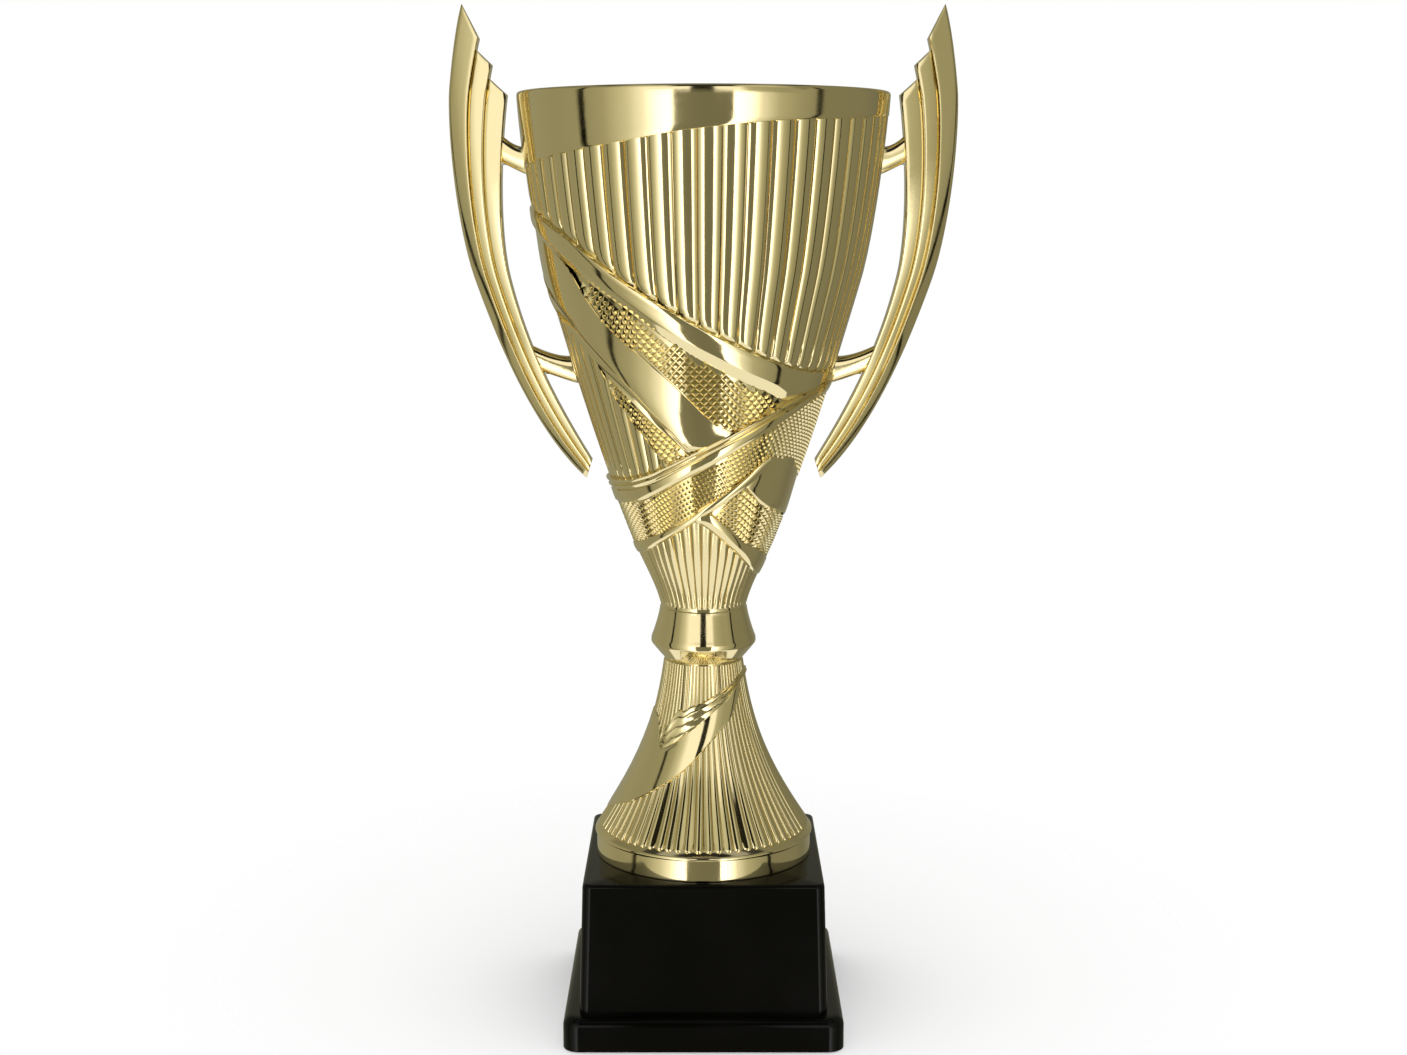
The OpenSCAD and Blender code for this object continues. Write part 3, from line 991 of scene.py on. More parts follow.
@dataclass
class Cup(Piece):
    """The bowl: wall, rim band, reeds and the crossing ribbons with their studded beds."""

    wall: CupWall = CupWall()
    wall_t: float = 2.0
    under: float = 1.5
    under_slope: float = 0.3
    lip: float = 0.25
    floor_z: float = 145.0
    rod_hole_r: float = 3.35
    shell_steps: int = 160
    band_steps: int = 180
    reed_pitch: float = 7.5
    reed_start: float = -1.9
    reed_crest: float = -0.12
    reed_depth: float = 0.0205
    skirt_depth: float = 1.25
    boss_r: float = 3.1
    boss_rise: float = 0.1
    boss_sink: float = 0.5
    strut_zs: tuple[float, float] = (287.0, 219.0)
    crease: float = 38.0

    band_low: Line = Line(((-90, 283.6), (-74, 285.4), (-48, 288.7), (-25, 291.9), (-6.6, 294.9), (8, 296.6),
                           (26, 298.1), (50, 299.2), (70, 300.3), (90, 300.9)))
    sash_top: Line = Line(((-90, 272.5), (-72, 269.5), (-58, 265.3), (-49.5, 261.7), (-39.6, 256.3), (-31, 250.9),
                           (-20, 244.8), (-8.6, 239.1), (1.5, 234.4), (14.7, 229.3), (25, 225.8), (44, 221.4),
                           (59, 219.9), (90, 219.5)))
    sash_foot: Line = Line(((-90, 267.5), (-75, 262.5), (-65, 258.8), (-54.6, 254.6), (-39.4, 246.8), (-27, 240),
                            (-9.8, 229.6), (1.6, 224.6), (16, 218.9), (31.4, 214.4), (39, 212), (60, 210.5),
                            (90, 210)))
    bed1_low: Line = Line(((-48.2, 243.9), (-43.3, 238.6), (-35.7, 232.4), (-26.5, 226.3), (-17.5, 220.2),
                           (-8.2, 213.6), (0.9, 207.2), (8, 203.5), (15, 202), (31, 207.9), (45, 211.8),
                           (54.7, 214.2)))
    patch_low: Line = Line(((-90, 250), (-75, 243.5), (-61.6, 236.6), (-50.3, 228.6), (-37.2, 219.0),
                            (-24.4, 208.6), (-15, 202), (-6, 196.6), (0, 196.5), (9.8, 199.5), (18.3, 203)))
    patch_top: Line = Line(((-90, 267.8), (-75, 263), (-65, 259), (-54.6, 253), (-48.2, 244.2), (-43.3, 238.6),
                            (-35.7, 232.4), (-26.5, 226.3), (-17.5, 220.2), (-8.2, 213.6), (0.9, 207.2),
                            (8, 203.5), (15, 202)))
    fold_low: Line = Line(((-90, 245.5), (-75, 239), (-61.6, 231.6), (-50.3, 224.2), (-40.9, 217.3),
                           (-32.3, 211), (-22.8, 204.4), (-13, 198.6), (-8, 195.5), (-4, 195)))
    bed2_low: Line = Line(((-47, 217.5), (-43.8, 211.9), (-38.7, 206.4), (-31.3, 199.7), (-23.7, 193.4),
                           (-20.2, 191.3), (-8, 194)))
    left_reed_top: Line = Line(((-90, 246), (-75, 239.5), (-61.6, 232), (-52, 225.5), (-48, 219), (-43.8, 212.5),
                                (-38.7, 207), (-31.3, 200.3), (-23.7, 193.6), (-20, 191.5)))
    cross_top: Line = Line(((-90, 183.8), (-80, 183.9), (-54.5, 184.8), (-32.3, 187.7), (-18.5, 191.2),
                            (-4.6, 195.7), (9.8, 200.3), (18.3, 203.4), (31, 207.9), (45.1, 211.8), (54.7, 214.2),
                            (70, 216.6), (90, 218)))
    cross_low: Line = Line(((-90, 175.9), (-74, 176.3), (-44.2, 178.6), (-28.7, 181.6), (-13.1, 186.2),
                            (1.1, 190.7), (12.9, 194.9), (24.4, 199.3), (37.2, 204), (47.3, 207.4), (60, 211),
                            (75, 213.4), (90, 214.4)))
    border_top: Line = Line(((-90, 161.4), (-57.7, 163.9), (-33.7, 167.4), (-10.9, 172.8), (1.3, 177.3),
                             (13.8, 182.1), (25.1, 187), (31.8, 190.7), (38, 193.6)))
    border_low: Line = Line(((-90, 157.9), (-60, 160.4), (-34.6, 164.6), (-16.5, 169), (-1.3, 173.9),
                             (12.5, 178.5), (25.8, 183.9), (33, 187.4), (38, 190)))
    bed3_low: Line = Line(((-90, 160.8), (-57.7, 163.4), (-33.7, 166.9), (-10.9, 172.3), (1.3, 176.8),
                           (13.8, 181.6), (25.1, 186.5), (31.8, 190.2), (36.5, 192.6), (56.3, 191.7),
                           (72.7, 187.1), (90, 182.5)))
    shield_low: Line = Line(((25.8, 183.9), (31, 181), (37.8, 178), (52, 175.6), (68.2, 173.4), (90, 170.5)))
    shield_top: Line = Line(((25.8, 184.2), (31.8, 190.4), (36.5, 192.8), (56.3, 191.9), (72.7, 187.3),
                             (90, 182.7)))
    bed4_top: Line = Line(((6, 175.4), (12.4, 178.4), (25.8, 183.7), (37.8, 178.4), (52, 176), (68, 173.6),
                           (90, 170.8)))
    tail_top: Line = Line(((-6, 173.9), (3.8, 174.6), (8.5, 173.4), (23.9, 167.1), (30, 165), (45, 161.9),
                           (61.1, 159.3), (90, 155.5)))
    tail_low: Line = Line(((-6, 172.6), (0, 171.2), (9.4, 167.8), (25.6, 161.8), (40, 157.4), (52.9, 154.4),
                           (70, 151.9), (90, 150.5)))
    skirt_top: Line = Line(((-90, 158.3), (-60, 160.8), (-34.6, 165), (-16.5, 169.4), (-4.7, 172.3),
                            (9.4, 168), (25.6, 162), (40, 157.6), (52.9, 154.6), (70, 152.1), (90, 150.7)))

    def stands_for(self) -> str:
        """The name of its CAD node."""
        return "bowl"

    def _shell(self) -> bpy.types.Object:
        """The plain wall with its floor and the rod's hole."""
        w, lip = self.wall, self.lip
        zs = np.linspace(w.foot_z, w.rim_z - 2 * lip, 60)
        outer = [(float(w.radius(z)) - min(self.under, (z - w.foot_z) * self.under_slope), z) for z in zs]
        top = float(w.radius(w.rim_z))
        rim = [(top - self.under, w.rim_z - lip), (top - self.wall_t + lip, w.rim_z - lip),
               (top - self.wall_t, w.rim_z - 0.6)]
        zs = np.linspace(w.rim_z - 2, self.floor_z + 1.5, 50)
        inner = [(float(w.radius(z)) - self.wall_t, z) for z in zs]
        r0 = inner[-1][0]
        floor = [(r0 - 0.5, self.floor_z + 0.45), (r0 - 1.6, self.floor_z), (self.rod_hole_r, self.floor_z),
                 (self.rod_hole_r, w.foot_z)]
        return turned("cup_shell", outer + rim + inner + floor, self.shell_steps)

    def _band(self, relief: Relief) -> None:
        """Lays the smooth band under the rim, cut off on a slant.

        Args:
            relief: What is laid on the cup.
        """
        w, low = self.wall, self.band_low
        rows = [(0, -0.5, -1.45), (0, -0.1, -0.5), (0, 0.1, -0.02), (0, 0.5, 0.12)]
        rows += [(s, 0, 0.12) for s in (0.15, 0.3, 0.45, 0.6, 0.75, 0.88)]
        rows += [(1, -1.2, 0.1), (1, -0.65, 0.0), (1, -0.3, -0.2), (1, -0.08, -0.5), (1, 0, -0.85), (1, 0, -1.4),
                 (1, -0.1, -1.8), (1, -0.4, -2.02), (1, -2.5, -2.05)]
        data, last = np.array(rows), len(rows) - 1

        def place(u: Points, v: Points) -> Points:
            """Lays the grid.

            Args:
                u: Shares of its width.
                v: Shares of its height.

            Returns:
                The places in millimetres.
            """
            angle = ALL_ROUND[0] + 360 * u
            k = np.rint(v * last).astype(int)
            lo = low.at(angle)
            z = lo + (w.rim_z - lo) * data[k, 0] + data[k, 1]
            return w.lay(angle, z, data[k, 2])

        obj = wrapped("rim_band", self.band_steps, last, place)
        weld(obj, face_out=False)
        relief.parts.append(obj)

    def _reeds(self, r: Relief) -> None:
        """Lays the reeds under the band, above the neck and at the left.

        Args:
            r: What is laid on the cup.
        """
        pitch, start, crest, depth = self.reed_pitch, self.reed_start, self.reed_crest, self.reed_depth
        r.reeds("reeds_upper", Level(base=self.sash_top, rise=0.1), Level(base=self.band_low, rise=0.8),
                ALL_ROUND, pitch, start, crest, depth, rounded=3.4, across=10, rows=14)
        r.reeds("reeds_skirt", Level(rise=self.wall.foot_z + 0.6), self.skirt_top, ALL_ROUND, pitch, start,
                crest, depth * self.skirt_depth, rounded=0.6, rows=10)
        for span in both_halves((-90, -20)):
            r.reeds("reeds_left", Level(base=self.cross_top, rise=-0.6), self.left_reed_top, span, pitch, start,
                    crest - 0.2, depth, rounded=2, rows=10)

    def _ribbons(self, r: Relief) -> None:
        """Lays the crossing ribbons, their studded beds and the smooth patches.

        Args:
            r: What is laid on the cup.
        """

        def twice(name: str, low: Line, high: Line, span: Span, profile: Profile, step: float = 2.0) -> None:
            """Lays a ribbon on the front half and on the back half."""
            for n, half in enumerate(both_halves(span)):
                r.ribbon(f"{name}_{n}", low, high, half, profile, step)

        r.ribbon("sash", self.sash_foot, self.sash_top, ALL_ROUND, STEPPED_SASH, 1.5)
        twice("bed1", self.bed1_low, self.sash_foot, (-48.2, 52), BED)
        r.studs("studs1", self.bed1_low, self.sash_foot, (-47.6, 46), pitch=2.05, lean=-44, height=0.95,
                mean_z=224)
        twice("patch", self.patch_low, self.patch_top, (-90, 15), CROWNED_PATCH, 1.5)
        twice("fold", self.fold_low, Level(base=self.patch_low, rise=0.3), (-90, -4), HOLLOW_RIBBON, 1.5)
        twice("bed2", self.bed2_low, self.fold_low, (-47, -10), BED)
        r.studs("studs2", self.bed2_low, self.fold_low, (-46, -12), pitch=1.95, lean=-40, height=0.95,
                mean_z=205)
        r.ribbon("bed3", self.bed3_low, self.cross_low, ALL_ROUND, BED)
        r.studs("studs3", self.bed3_low, self.cross_low, (-89, 89), pitch=1.5, lean=30, height=0.75,
                mean_z=180, margin=0.55)
        r.ribbon("cross", self.cross_low, self.cross_top, ALL_ROUND, RIDGED_RIBBON, 1.5)
        twice("shield", self.shield_low, self.shield_top, (25.8, 90), CROWNED_PATCH)
        twice("bed4", self.tail_top, self.bed4_top, (6, 90), BED)
        r.studs("studs4", self.tail_top, self.bed4_top, (9, 89), pitch=1.75, lean=-38, height=0.85,
                mean_z=171, margin=0.6)
        twice("tail", self.tail_low, self.tail_top, (-6, 90), FLAT_RIBBON, 1.5)
        twice("border", self.border_low, self.border_top, (-90, 38), FLAT_RIBBON, 1.5)

    def _bosses(self) -> list[bpy.types.Object]:
        """The round pads that the handles are screwed to."""
        pads = []
        for side in Side:
            for z in self.strut_zs:
                x1 = float(self.wall.radius(z)) + self.boss_rise
                x0 = float(self.wall.radius(z - self.boss_r)) - self.wall_t - self.boss_sink
                pads.append(rod_x("boss", side.value * x0, side.value * x1, z, self.boss_r))
        return pads

    def build(self) -> bpy.types.Object:
        """Builds the whole bowl as one piece."""
        shell = self._shell()
        relief = Relief(self.wall)
        self._band(relief)
        self._reeds(relief)
        self._ribbons(relief)
        obj = joined("bowl_relief", [shell, *relief.parts, *self._bosses()])
        weld(obj, face_out=False)
        soften(obj, self.crease)
        return obj


@dataclass
class Handle(Piece):
    """A handle of three feather blades with its two struts."""

    side: Side
    wall: CupWall = CupWall()
    inner: Spots = ((3.2, -0.7), (14.6, -58.3), (14.4, -80.8), (3.7, -119.5))
    outer: Spots = ((17.4, 28), (25.5, 0.1), (29.2, -97.8), (7.6, -125.4))
    shares: tuple[float, ...] = (0, 0.33, 0.62, 1)
    faces: Spots = ((3.5, 2.25), (3.6, 2.3), (3.85, 0.9))
    stations: tuple[float, ...] = (0, 0.03, 0.1, 0.22, 0.36, 0.5, 0.64, 0.78, 0.9, 0.97, 1.0)
    edge_drop: tuple[float, ...] = (0.4, 0.08, 0, 0, 0, 0, 0, 0, 0, 0.1, 0.4)
    level: float = 2.7
    full_width: float = 14.0
    least_step: float = 0.2
    notch: float = 0.03
    crown: float = 0.12
    rows: int = 56
    blade_bevel: float = 0.18
    strut_zs: tuple[float, float] = (287.0, 219.0)
    strut_h: float = 9.0
    strut_t: float = 6.0
    strut_rise: float = 4.2
    strut_sweep: float = 1.4
    strut_sink: float = 1.2
    strut_bite: float = 0.25
    strut_waist: float = 0.1
    strut_root: float = 1.15
    strut_taper: float = 0.42
    strut_square: float = 0.7
    strut_steps: int = 48
    strut_rows: int = 12
    foot_r: float = 2.7
    foot_t: float = 0.8
    foot_seat: float = 0.3
    foot_sink: float = 0.6
    crease: float = 30.0

    def stands_for(self) -> str:
        """The name of its CAD node."""
        return f"handle_{self.side.name.lower()}"

    def _spot(self, across: Points, along: Points) -> tuple[Points, Points]:
        """A spot on the handle's outline.

        Args:
            across: Shares of its width, from the inner edge.
            along: Shares of its length, from the top.

        Returns:
            The distances from the axis and the heights.
        """
        share = across[..., None]
        p = bezier(self.inner, along) * (1 - share) + bezier(self.outer, along) * share
        z = self.wall.rim_z + p[..., 1]
        return self.wall.radius(z) + p[..., 0], z

    def _blade(self, index: int) -> bpy.types.Object:
        """One blade, crowned on both faces.

        Args:
            index: Its number, from the inner edge.

        Returns:
            The blade's object.
        """
        lo, hi = self.shares[index], self.shares[index + 1]
        near, far = self.faces[index]
        last = index == len(self.faces) - 1
        ws = np.array(self.stations)
        face = near + (far - near) * ws - self.crown * (2 * ws - 1) ** 2 - np.array(self.edge_drop)
        loop_w = np.concatenate([ws, ws[::-1], ws[:1]])
        loop_y = np.concatenate([-face, face[::-1], -face[:1]])
        count = len(loop_w) - 1
        notch = 0.0 if last else self.notch
        sign = self.side.value

        def place(u: Points, v: Points) -> Points:
            """Lays the grid.

            Args:
                u: Shares of its width.
                v: Shares of its height.

            Returns:
                The places in millimetres.
            """
            k = np.rint(u * count).astype(int)
            w, y = loop_w[k], loop_y[k]
            start = notch * w
            along = start + (1 - start) * (1 - v)
            x, z = self._spot(lo + (hi - lo) * w, along)
            # The steps fade out where the handle gets narrow
            wide = np.linalg.norm(bezier(self.outer, along) - bezier(self.inner, along), axis=-1)
            step = np.clip(wide / self.full_width, self.least_step, 1)
            y = np.sign(y) * (self.level + (np.abs(y) - self.level) * step)
            return np.stack([sign * x, y, z], axis=-1)

        obj = wrapped(f"blade_{index}", count, self.rows, place)
        weld(obj, fill=True)
        return bevelled(obj, self.blade_bevel, 1.0)

    def _inner_x(self, z: Points) -> Points:
        """Where the inner edge is.

        Args:
            z: Heights.

        Returns:
            Its distance from the axis at each height.
        """
        t = np.linspace(0, 1, 200)
        x, zs = self._spot(np.zeros_like(t), t)
        return np.interp(z, zs[::-1], x[::-1])

    def _strut(self, z: float) -> list[bpy.types.Object]:
        """A strut of rounded section with its foot.

        Args:
            z: The height of its foot.

        Returns:
            The strut's arm and its foot.
        """
        sign = self.side.value
        seat = float(self.wall.radius(z + self.foot_r)) + self.foot_seat

        def place(u: Points, v: Points) -> Points:
            """Lays the grid.

            Args:
                u: Shares of its width.
                v: Shares of its height.

            Returns:
                The places in millimetres.
            """
            c, s = np.cos(2 * np.pi * u), np.sin(2 * np.pi * u)
            y = np.sign(c) * np.abs(c) ** self.strut_square * self.strut_t / 2
            h = np.sign(s) * np.abs(s) ** self.strut_square * self.strut_h / 2
            y = y * (self.strut_root - self.strut_taper * v)
            h = h * (1 - self.strut_waist * 4 * v * (1 - v))
            start = self.wall.radius(z + h) - self.strut_bite
            stop = self._inner_x(z + h + self.strut_rise) + self.strut_sink
            zs = z + h + self.strut_rise * v**self.strut_sweep
            return np.stack([sign * (start + (stop - start) * v), y, zs], axis=-1)

        arm = wrapped("strut", self.strut_steps, self.strut_rows, place)
        weld(arm, fill=True)
        foot = rod_x("strut_foot", sign * (seat - self.foot_sink), sign * (seat + self.foot_t), z, self.foot_r)
        return [arm, foot]

    def build(self) -> bpy.types.Object:
        """Builds the handle as one piece."""
        parts = [self._blade(i) for i in range(len(self.faces))]
        for z in self.strut_zs:
            parts += self._strut(z)
        obj = joined(f"{self.side.name.lower()}_handle_feathers", parts)
        weld(obj, face_out=False)
        soften(obj, self.crease)
        return obj


@dataclass
class Knop(Piece):
    """The collar between the cup and the stem."""

    z: float = 122.3
    top: float = 17.7
    spigot_r: float = 14.3
    hole_r: float = 3.35
    lower: Spots = ((13.2, 0), (14.8, 1.8), (17.25, 4.85))
    edge: Spots = ((17.5, 5.2), (17.6, 5.7), (17.55, 6.6), (17.5, 7.0))
    upper: Spots = ((17.5, 7.0), (16.4, 9.7), (15.0, 14.2), (14.6, 17.3))
    steps: int = 128
    crease: float = 28.0

    def stands_for(self) -> str:
        """The name of its CAD node."""
        return "knop"

    def build(self) -> bpy.types.Object:
        """Builds the collar."""
        curve = [tuple(p) for p in bezier(self.upper, np.linspace(0, 1, 16))][1:]
        outline = [*self.lower, *self.edge, *curve, (self.spigot_r, self.top), (self.hole_r, self.top),
                   (self.hole_r, 0)]
        obj = turned("knop_collar", [(r, self.z + z) for r, z in outline], self.steps)
        soften(obj, self.crease)
        return obj


@dataclass
class Stem(Piece):
    """The flared stem: disc foot, fine flutes and a swoosh that sweeps over them."""

    wall: StemWall = StemWall()
    foot_z: float = 54.7
    top_z: float = 122.3
    disc: Spots = ((36.3, 0), (36.6, 0.12), (36.68, 0.35), (36.66, 0.8), (36.5, 3.5), (36.36, 6.6), (36.35, 6.95),
                   (36.36, 7.1), (36.75, 7.2), (36.98, 7.5), (37.0, 7.9), (36.85, 8.3), (36.5, 8.6), (35.9, 9.0),
                   (35.2, 9.7))
    cavity: Spots = ((34.3, 7), (34.3, 0))
    under: float = 1.15
    under_slope: float = 0.4
    thickness: float = 2.6
    hole_r: float = 3.35
    crown_r: float = 12.9
    crown_t: float = 4.0
    shell_steps: int = 144
    flutes: int = 66
    crest: float = 0.05
    depth: float = 0.034
    uneven: float = 0.7
    plume_left: float = -51.0
    plume_rows: int = 26
    plume_columns: int = 120
    plume_ripples: tuple[float, float] = (2.2, 1.6)
    plume_drift: float = 64.0
    plume_wave: float = 0.7
    plume_wave_turn: float = 22.0
    crease: float = 40.0

    sweep_low: Line = Line(((-90, 69.5), (-77, 72.2), (-57, 76), (-38.5, 81.4), (-21, 86.8), (-9.8, 91),
                            (1, 95.3), (15, 99.6), (30.5, 103.6), (43.8, 108.6), (56, 113.6), (62, 115.6)))
    sweep_top: Line = Line(((-90, 104.5), (-66, 103.4), (-56, 100.6), (-50, 96.4), (-44, 94.8), (-36.6, 95.4),
                            (-10.7, 101.4), (8.3, 106), (30, 110.6), (52.5, 114.8), (62, 116)))
    plume_low: Line = Line(((-51, 92.8), (-44, 93.2), (-36.6, 94.7), (-10.7, 100.9), (8.3, 105.4), (30, 110),
                            (52.5, 114.4), (83.2, 116.8), (90, 117.2)))
    plume_top: Line = Line(((-51, 94.4), (-47, 99.6), (-41.9, 102.2), (-35.2, 105.6), (-20, 107.6), (-3.7, 109.5),
                            (22.5, 112.9), (54.6, 117), (81.5, 118.7), (90, 119)))

    def stands_for(self) -> str:
        """The name of its CAD node."""
        return "stem_foot"

    def _shell(self) -> bpy.types.Object:
        """The plain wall with the disc band under it."""
        z0, top_z = self.foot_z, self.top_z
        disc = [(r, z0 + z) for r, z in self.disc]
        zs = np.linspace(z0 + 10.4, top_z - 0.3, 44)
        outer = [(float(self.wall.radius(z)) - min(self.under, (top_z - z) * self.under_slope), z) for z in zs]
        top = [(self.crown_r, top_z), (self.hole_r, top_z), (self.hole_r, top_z - self.crown_t)]
        zs = np.linspace(top_z - self.crown_t, z0 + 10, 30)
        inner = [(float(self.wall.radius(z)) - self.thickness, z) for z in zs]
        cavity = [(r, z0 + z) for r, z in self.cavity]
        return turned("stem_shell", disc + outer + top + inner + cavity, self.shell_steps)

    def _plume(self, relief: Relief, span: Span) -> None:
        """Lays the feathered upper edge of the swoosh: overlapping ripples that end in three notches.

        Args:
            relief: What is laid on the stem.
            span: The angles where the plume starts and ends.
        """
        rows = self.plume_rows
        ripples, fanned = self.plume_ripples

        def place(u: Points, v: Points) -> Points:
            """Lays the grid.

            Args:
                u: Shares of its width.
                v: Shares of its height.

            Returns:
                The places in millimetres.
            """
            angle = span[0] + (span[1] - span[0]) * u
            seen = np.where(angle > 90, 180 - angle, angle)
            past = seen - self.plume_left
            lo = self.plume_low.at(angle)
            width = np.maximum(self.plume_top.at(angle) - lo, 0.05)
            share = np.clip((v * rows - 1) / (rows - 2), 0, 1)
            z = lo + width * share
            # Ripples run along the plume and fan out to its left end
            fan = np.clip((40 - seen) / 90, 0, 1)
            phase = share * (ripples + fanned * fan) + past / self.plume_drift
            saw = phase - np.floor(phase)
            ripple = 0.55 * saw**1.5 - 0.35 * np.clip((saw - 0.9) / 0.1, 0, 1)
            edge = np.clip(np.minimum(share, 1 - share) * width / 0.5, 0, 1)
            end = np.clip(past / 3.0, 0, 1)
            lift = (0.3 + ripple) * edge * end - 0.2 * (1 - edge * end)
            lift = np.where((v < 0.5 / rows) | (v > 1 - 0.5 / rows), -1.1, lift)
            wave = np.sin(np.radians(past * self.plume_wave_turn)) * np.clip((0 - seen) / 40, 0, 1)
            return self.wall.lay(angle, z + self.plume_wave * wave * share, lift)

        relief.keep(wrapped("plume", self.plume_columns, rows, place))

    def build(self) -> bpy.types.Object:
        """Builds the stem as one piece."""
        r = Relief(self.wall, skin=0.3)
        low, high = Level(rise=self.foot_z + 9.3), Level(rise=self.top_z - 0.8)
        r.reeds("flutes", low, high, ALL_ROUND, 360 / self.flutes, 0, self.crest, self.depth, rounded=1.2,
                rows=30, uneven=self.uneven)
        for n, span in enumerate(both_halves((-90, 62))):
            r.ribbon(f"sweep_{n}", self.sweep_low, self.sweep_top, span, SWEPT_RIBBON, 1.5)
        for span in both_halves((self.plume_left, 90)):
            self._plume(r, span)
        obj = joined("stem_flutes", [self._shell(), *r.parts])
        weld(obj, face_out=False)
        soften(obj, self.crease)
        return obj


@dataclass
class Plinth(Piece):
    """The hollow black base of a plinth and a tapered block."""

    slot = Slot.BLACK
    crease: float = 25.0

    def stands_for(self) -> str:
        """The name of its CAD node."""
        return "base_shell"

    def build(self) -> bpy.types.Object:
        """Builds the base's skin."""
        obj = cad_copy(self.stands_for(), "base_gloss_shell")
        soften(obj, self.crease)
        return obj


# ---------------------------------------------------------------- studio


@dataclass
class Studio:
    """A pale floor, a white surround and soft panels around the object.

    The panels' spots give an angle in degrees from the camera's side and a brightness.
    """

    wall_r: float = 1.5
    wall_low: float = -1.6
    wall_high: float = 2.3
    wall_strength: float = 3.0
    dark_edge: Span = (0.9, 1.1)
    gap_edge: Span = (0.2, 0.3)
    left: Spots = ((-180, 0.3), (-128, 0.34), (-100, 0.32), (-80.4, 0.34), (-79.9, 0.005), (-75.6, 0.005),
                   (-75.1, 0.33), (-62, 0.4), (-46, 0.7), (-35, 1.15), (-27, 2.1))
    wide_gap: Spots = ((-18.4, 2.5), (-17.2, 0.22), (0, 0.19), (17.2, 0.19), (18, 2.6))
    near_right: Spots = ((28, 2.0), (35, 0.95), (46, 0.5))
    right: Spots = ((60, 0.36), (70.4, 0.3), (70.9, 0.005), (74.7, 0.005), (75.2, 0.24), (112, 0.23), (130, 0.19),
                    (150, 0.24), (180, 0.3))
    narrow_gap: Spots = ((-8, 2.5), (-7, 0.02), (6, 0.02), (7, 2.5))
    near_right_above: Spots = ((21, 2.0), (26, 0.5), (46, 0.36))
    above: Spots = ((-180, 0.2), (-62, 0.25), (-46, 0.6), (-24, 0.6), (-19, 0.015), (19, 0.015), (24, 0.6),
                    (46, 0.6), (62, 0.25), (180, 0.2))
    low_peak: float = 2.6
    high_peak: float = 1.15
    tint_red: float = 1.02
    tint_blue: float = 0.74
    tint_reach: Span = (0.4, 1.2)
    rings: Spots = ((0.0, 0.02), (0.6, 0.02), (0.7, 0.4), (1.0, 0.4), (1.1, 0.05), (1.5, 0.05))
    floor_r: float = 0.46
    floor_colour: Colour = (0.97, 0.97, 0.97, 1)
    floor_middle: tuple[float, float, float] = (0.0, 0.07, 0.0)
    fade: Span = (0.07, 0.22)
    lamp_place: tuple[float, float, float] = (0.0, -1.0, 1.08)
    lamp_aim: tuple[float, float, float] = (0.0, 0.0, 0.2)
    lamp_size: tuple[float, float] = (1.0, 0.35)
    lamp_energy: float = 1.2
    camera_place: tuple[float, float, float] = (0.0, -0.6724, 0.2775)
    camera_tilt: float = 9.41
    lens: float = 52.105
    sensor: float = 36.0

    def _floor(self) -> bpy.types.Object:
        """The floor, which fades into the white surround."""
        deselect()
        bpy.ops.mesh.primitive_circle_add(vertices=64, radius=self.floor_r, fill_type="NGON")
        obj = new_primitive("studio_floor")
        # The polished parts mirror the panels, not the floor
        obj.visible_glossy = False
        b = Bench(bpy.data.materials.new("pale_floor"))
        shifted = b.node("ShaderNodeVectorMath", {"operation": "SUBTRACT"},
                         {0: b.objects(), 1: self.floor_middle})
        far = b.node("ShaderNodeVectorMath", {"operation": "LENGTH"}, {0: shifted}, "Value")
        matt = b.node("ShaderNodeBsdfDiffuse", {}, {"Color": self.floor_colour})
        clear = b.node("ShaderNodeBsdfTransparent", {}, {"Color": (1, 1, 1, 1)})
        below = b.node("ShaderNodeNewGeometry", {}, {}, "Backfacing")
        share = b.node("ShaderNodeMath", {"operation": "MAXIMUM"},
                       {0: b.spread(far, *self.fade, 0, 1), 1: below})
        b.close("ShaderNodeOutputMaterial", b.node("ShaderNodeMixShader", {}, {0: share, 1: matt, 2: clear}))
        obj.data.materials.append(b.owner)
        return obj

    def _split(self, b: Bench) -> tuple[Signal, Signal, Signal]:
        """Object coordinates as three signals."""
        sep = b.node("ShaderNodeSeparateXYZ", {}, {0: b.objects()})
        outs = sep.socket.node.outputs
        return Signal(b, outs[0]), Signal(b, outs[1]), Signal(b, outs[2])

    def _tint(self, level: float) -> tuple[float, float, float]:
        """A panel's colour, which is warmer for a dim panel.

        Args:
            level: The panel's brightness.

        Returns:
            The colour as a share of the panels' strength.
        """
        start, stop = self.tint_reach
        share = min(max((level - start) / (stop - start), 0), 1)
        blue = self.tint_blue + (1 - self.tint_blue) * share
        return tuple(level * part / self.wall_strength for part in (self.tint_red, 1.0, blue))

    def _panels(self) -> bpy.types.Object:
        """A ring of soft panels with narrow dark gaps between them."""
        deselect()
        bpy.ops.mesh.primitive_cylinder_add(
            vertices=96, radius=self.wall_r, depth=self.wall_high - self.wall_low, end_fill_type="NOTHING",
            location=(0, 0, (self.wall_high + self.wall_low) / 2))
        obj = new_primitive("studio_panels")
        settle(obj)
        b = Bench(bpy.data.materials.new("soft_panels"))
        x, y, z = self._split(b)
        angle = b.node("ShaderNodeMath", {"operation": "ARCTAN2"}, {0: x, 1: 0.0 - y}) / (2 * math.pi) + 0.5

        def ramp(spots: Spots, peak: float) -> Signal:
            """The panels' colour around the object.

            Args:
                spots: Angles and brightnesses.
                peak: The most brightness.

            Returns:
                The colour.
            """
            stops = [(a / 360 + 0.5, self._tint(min(v, peak))) for a, v in spots]
            return b.node("ShaderNodeValToRGB", {"stops": stops}, {0: angle})

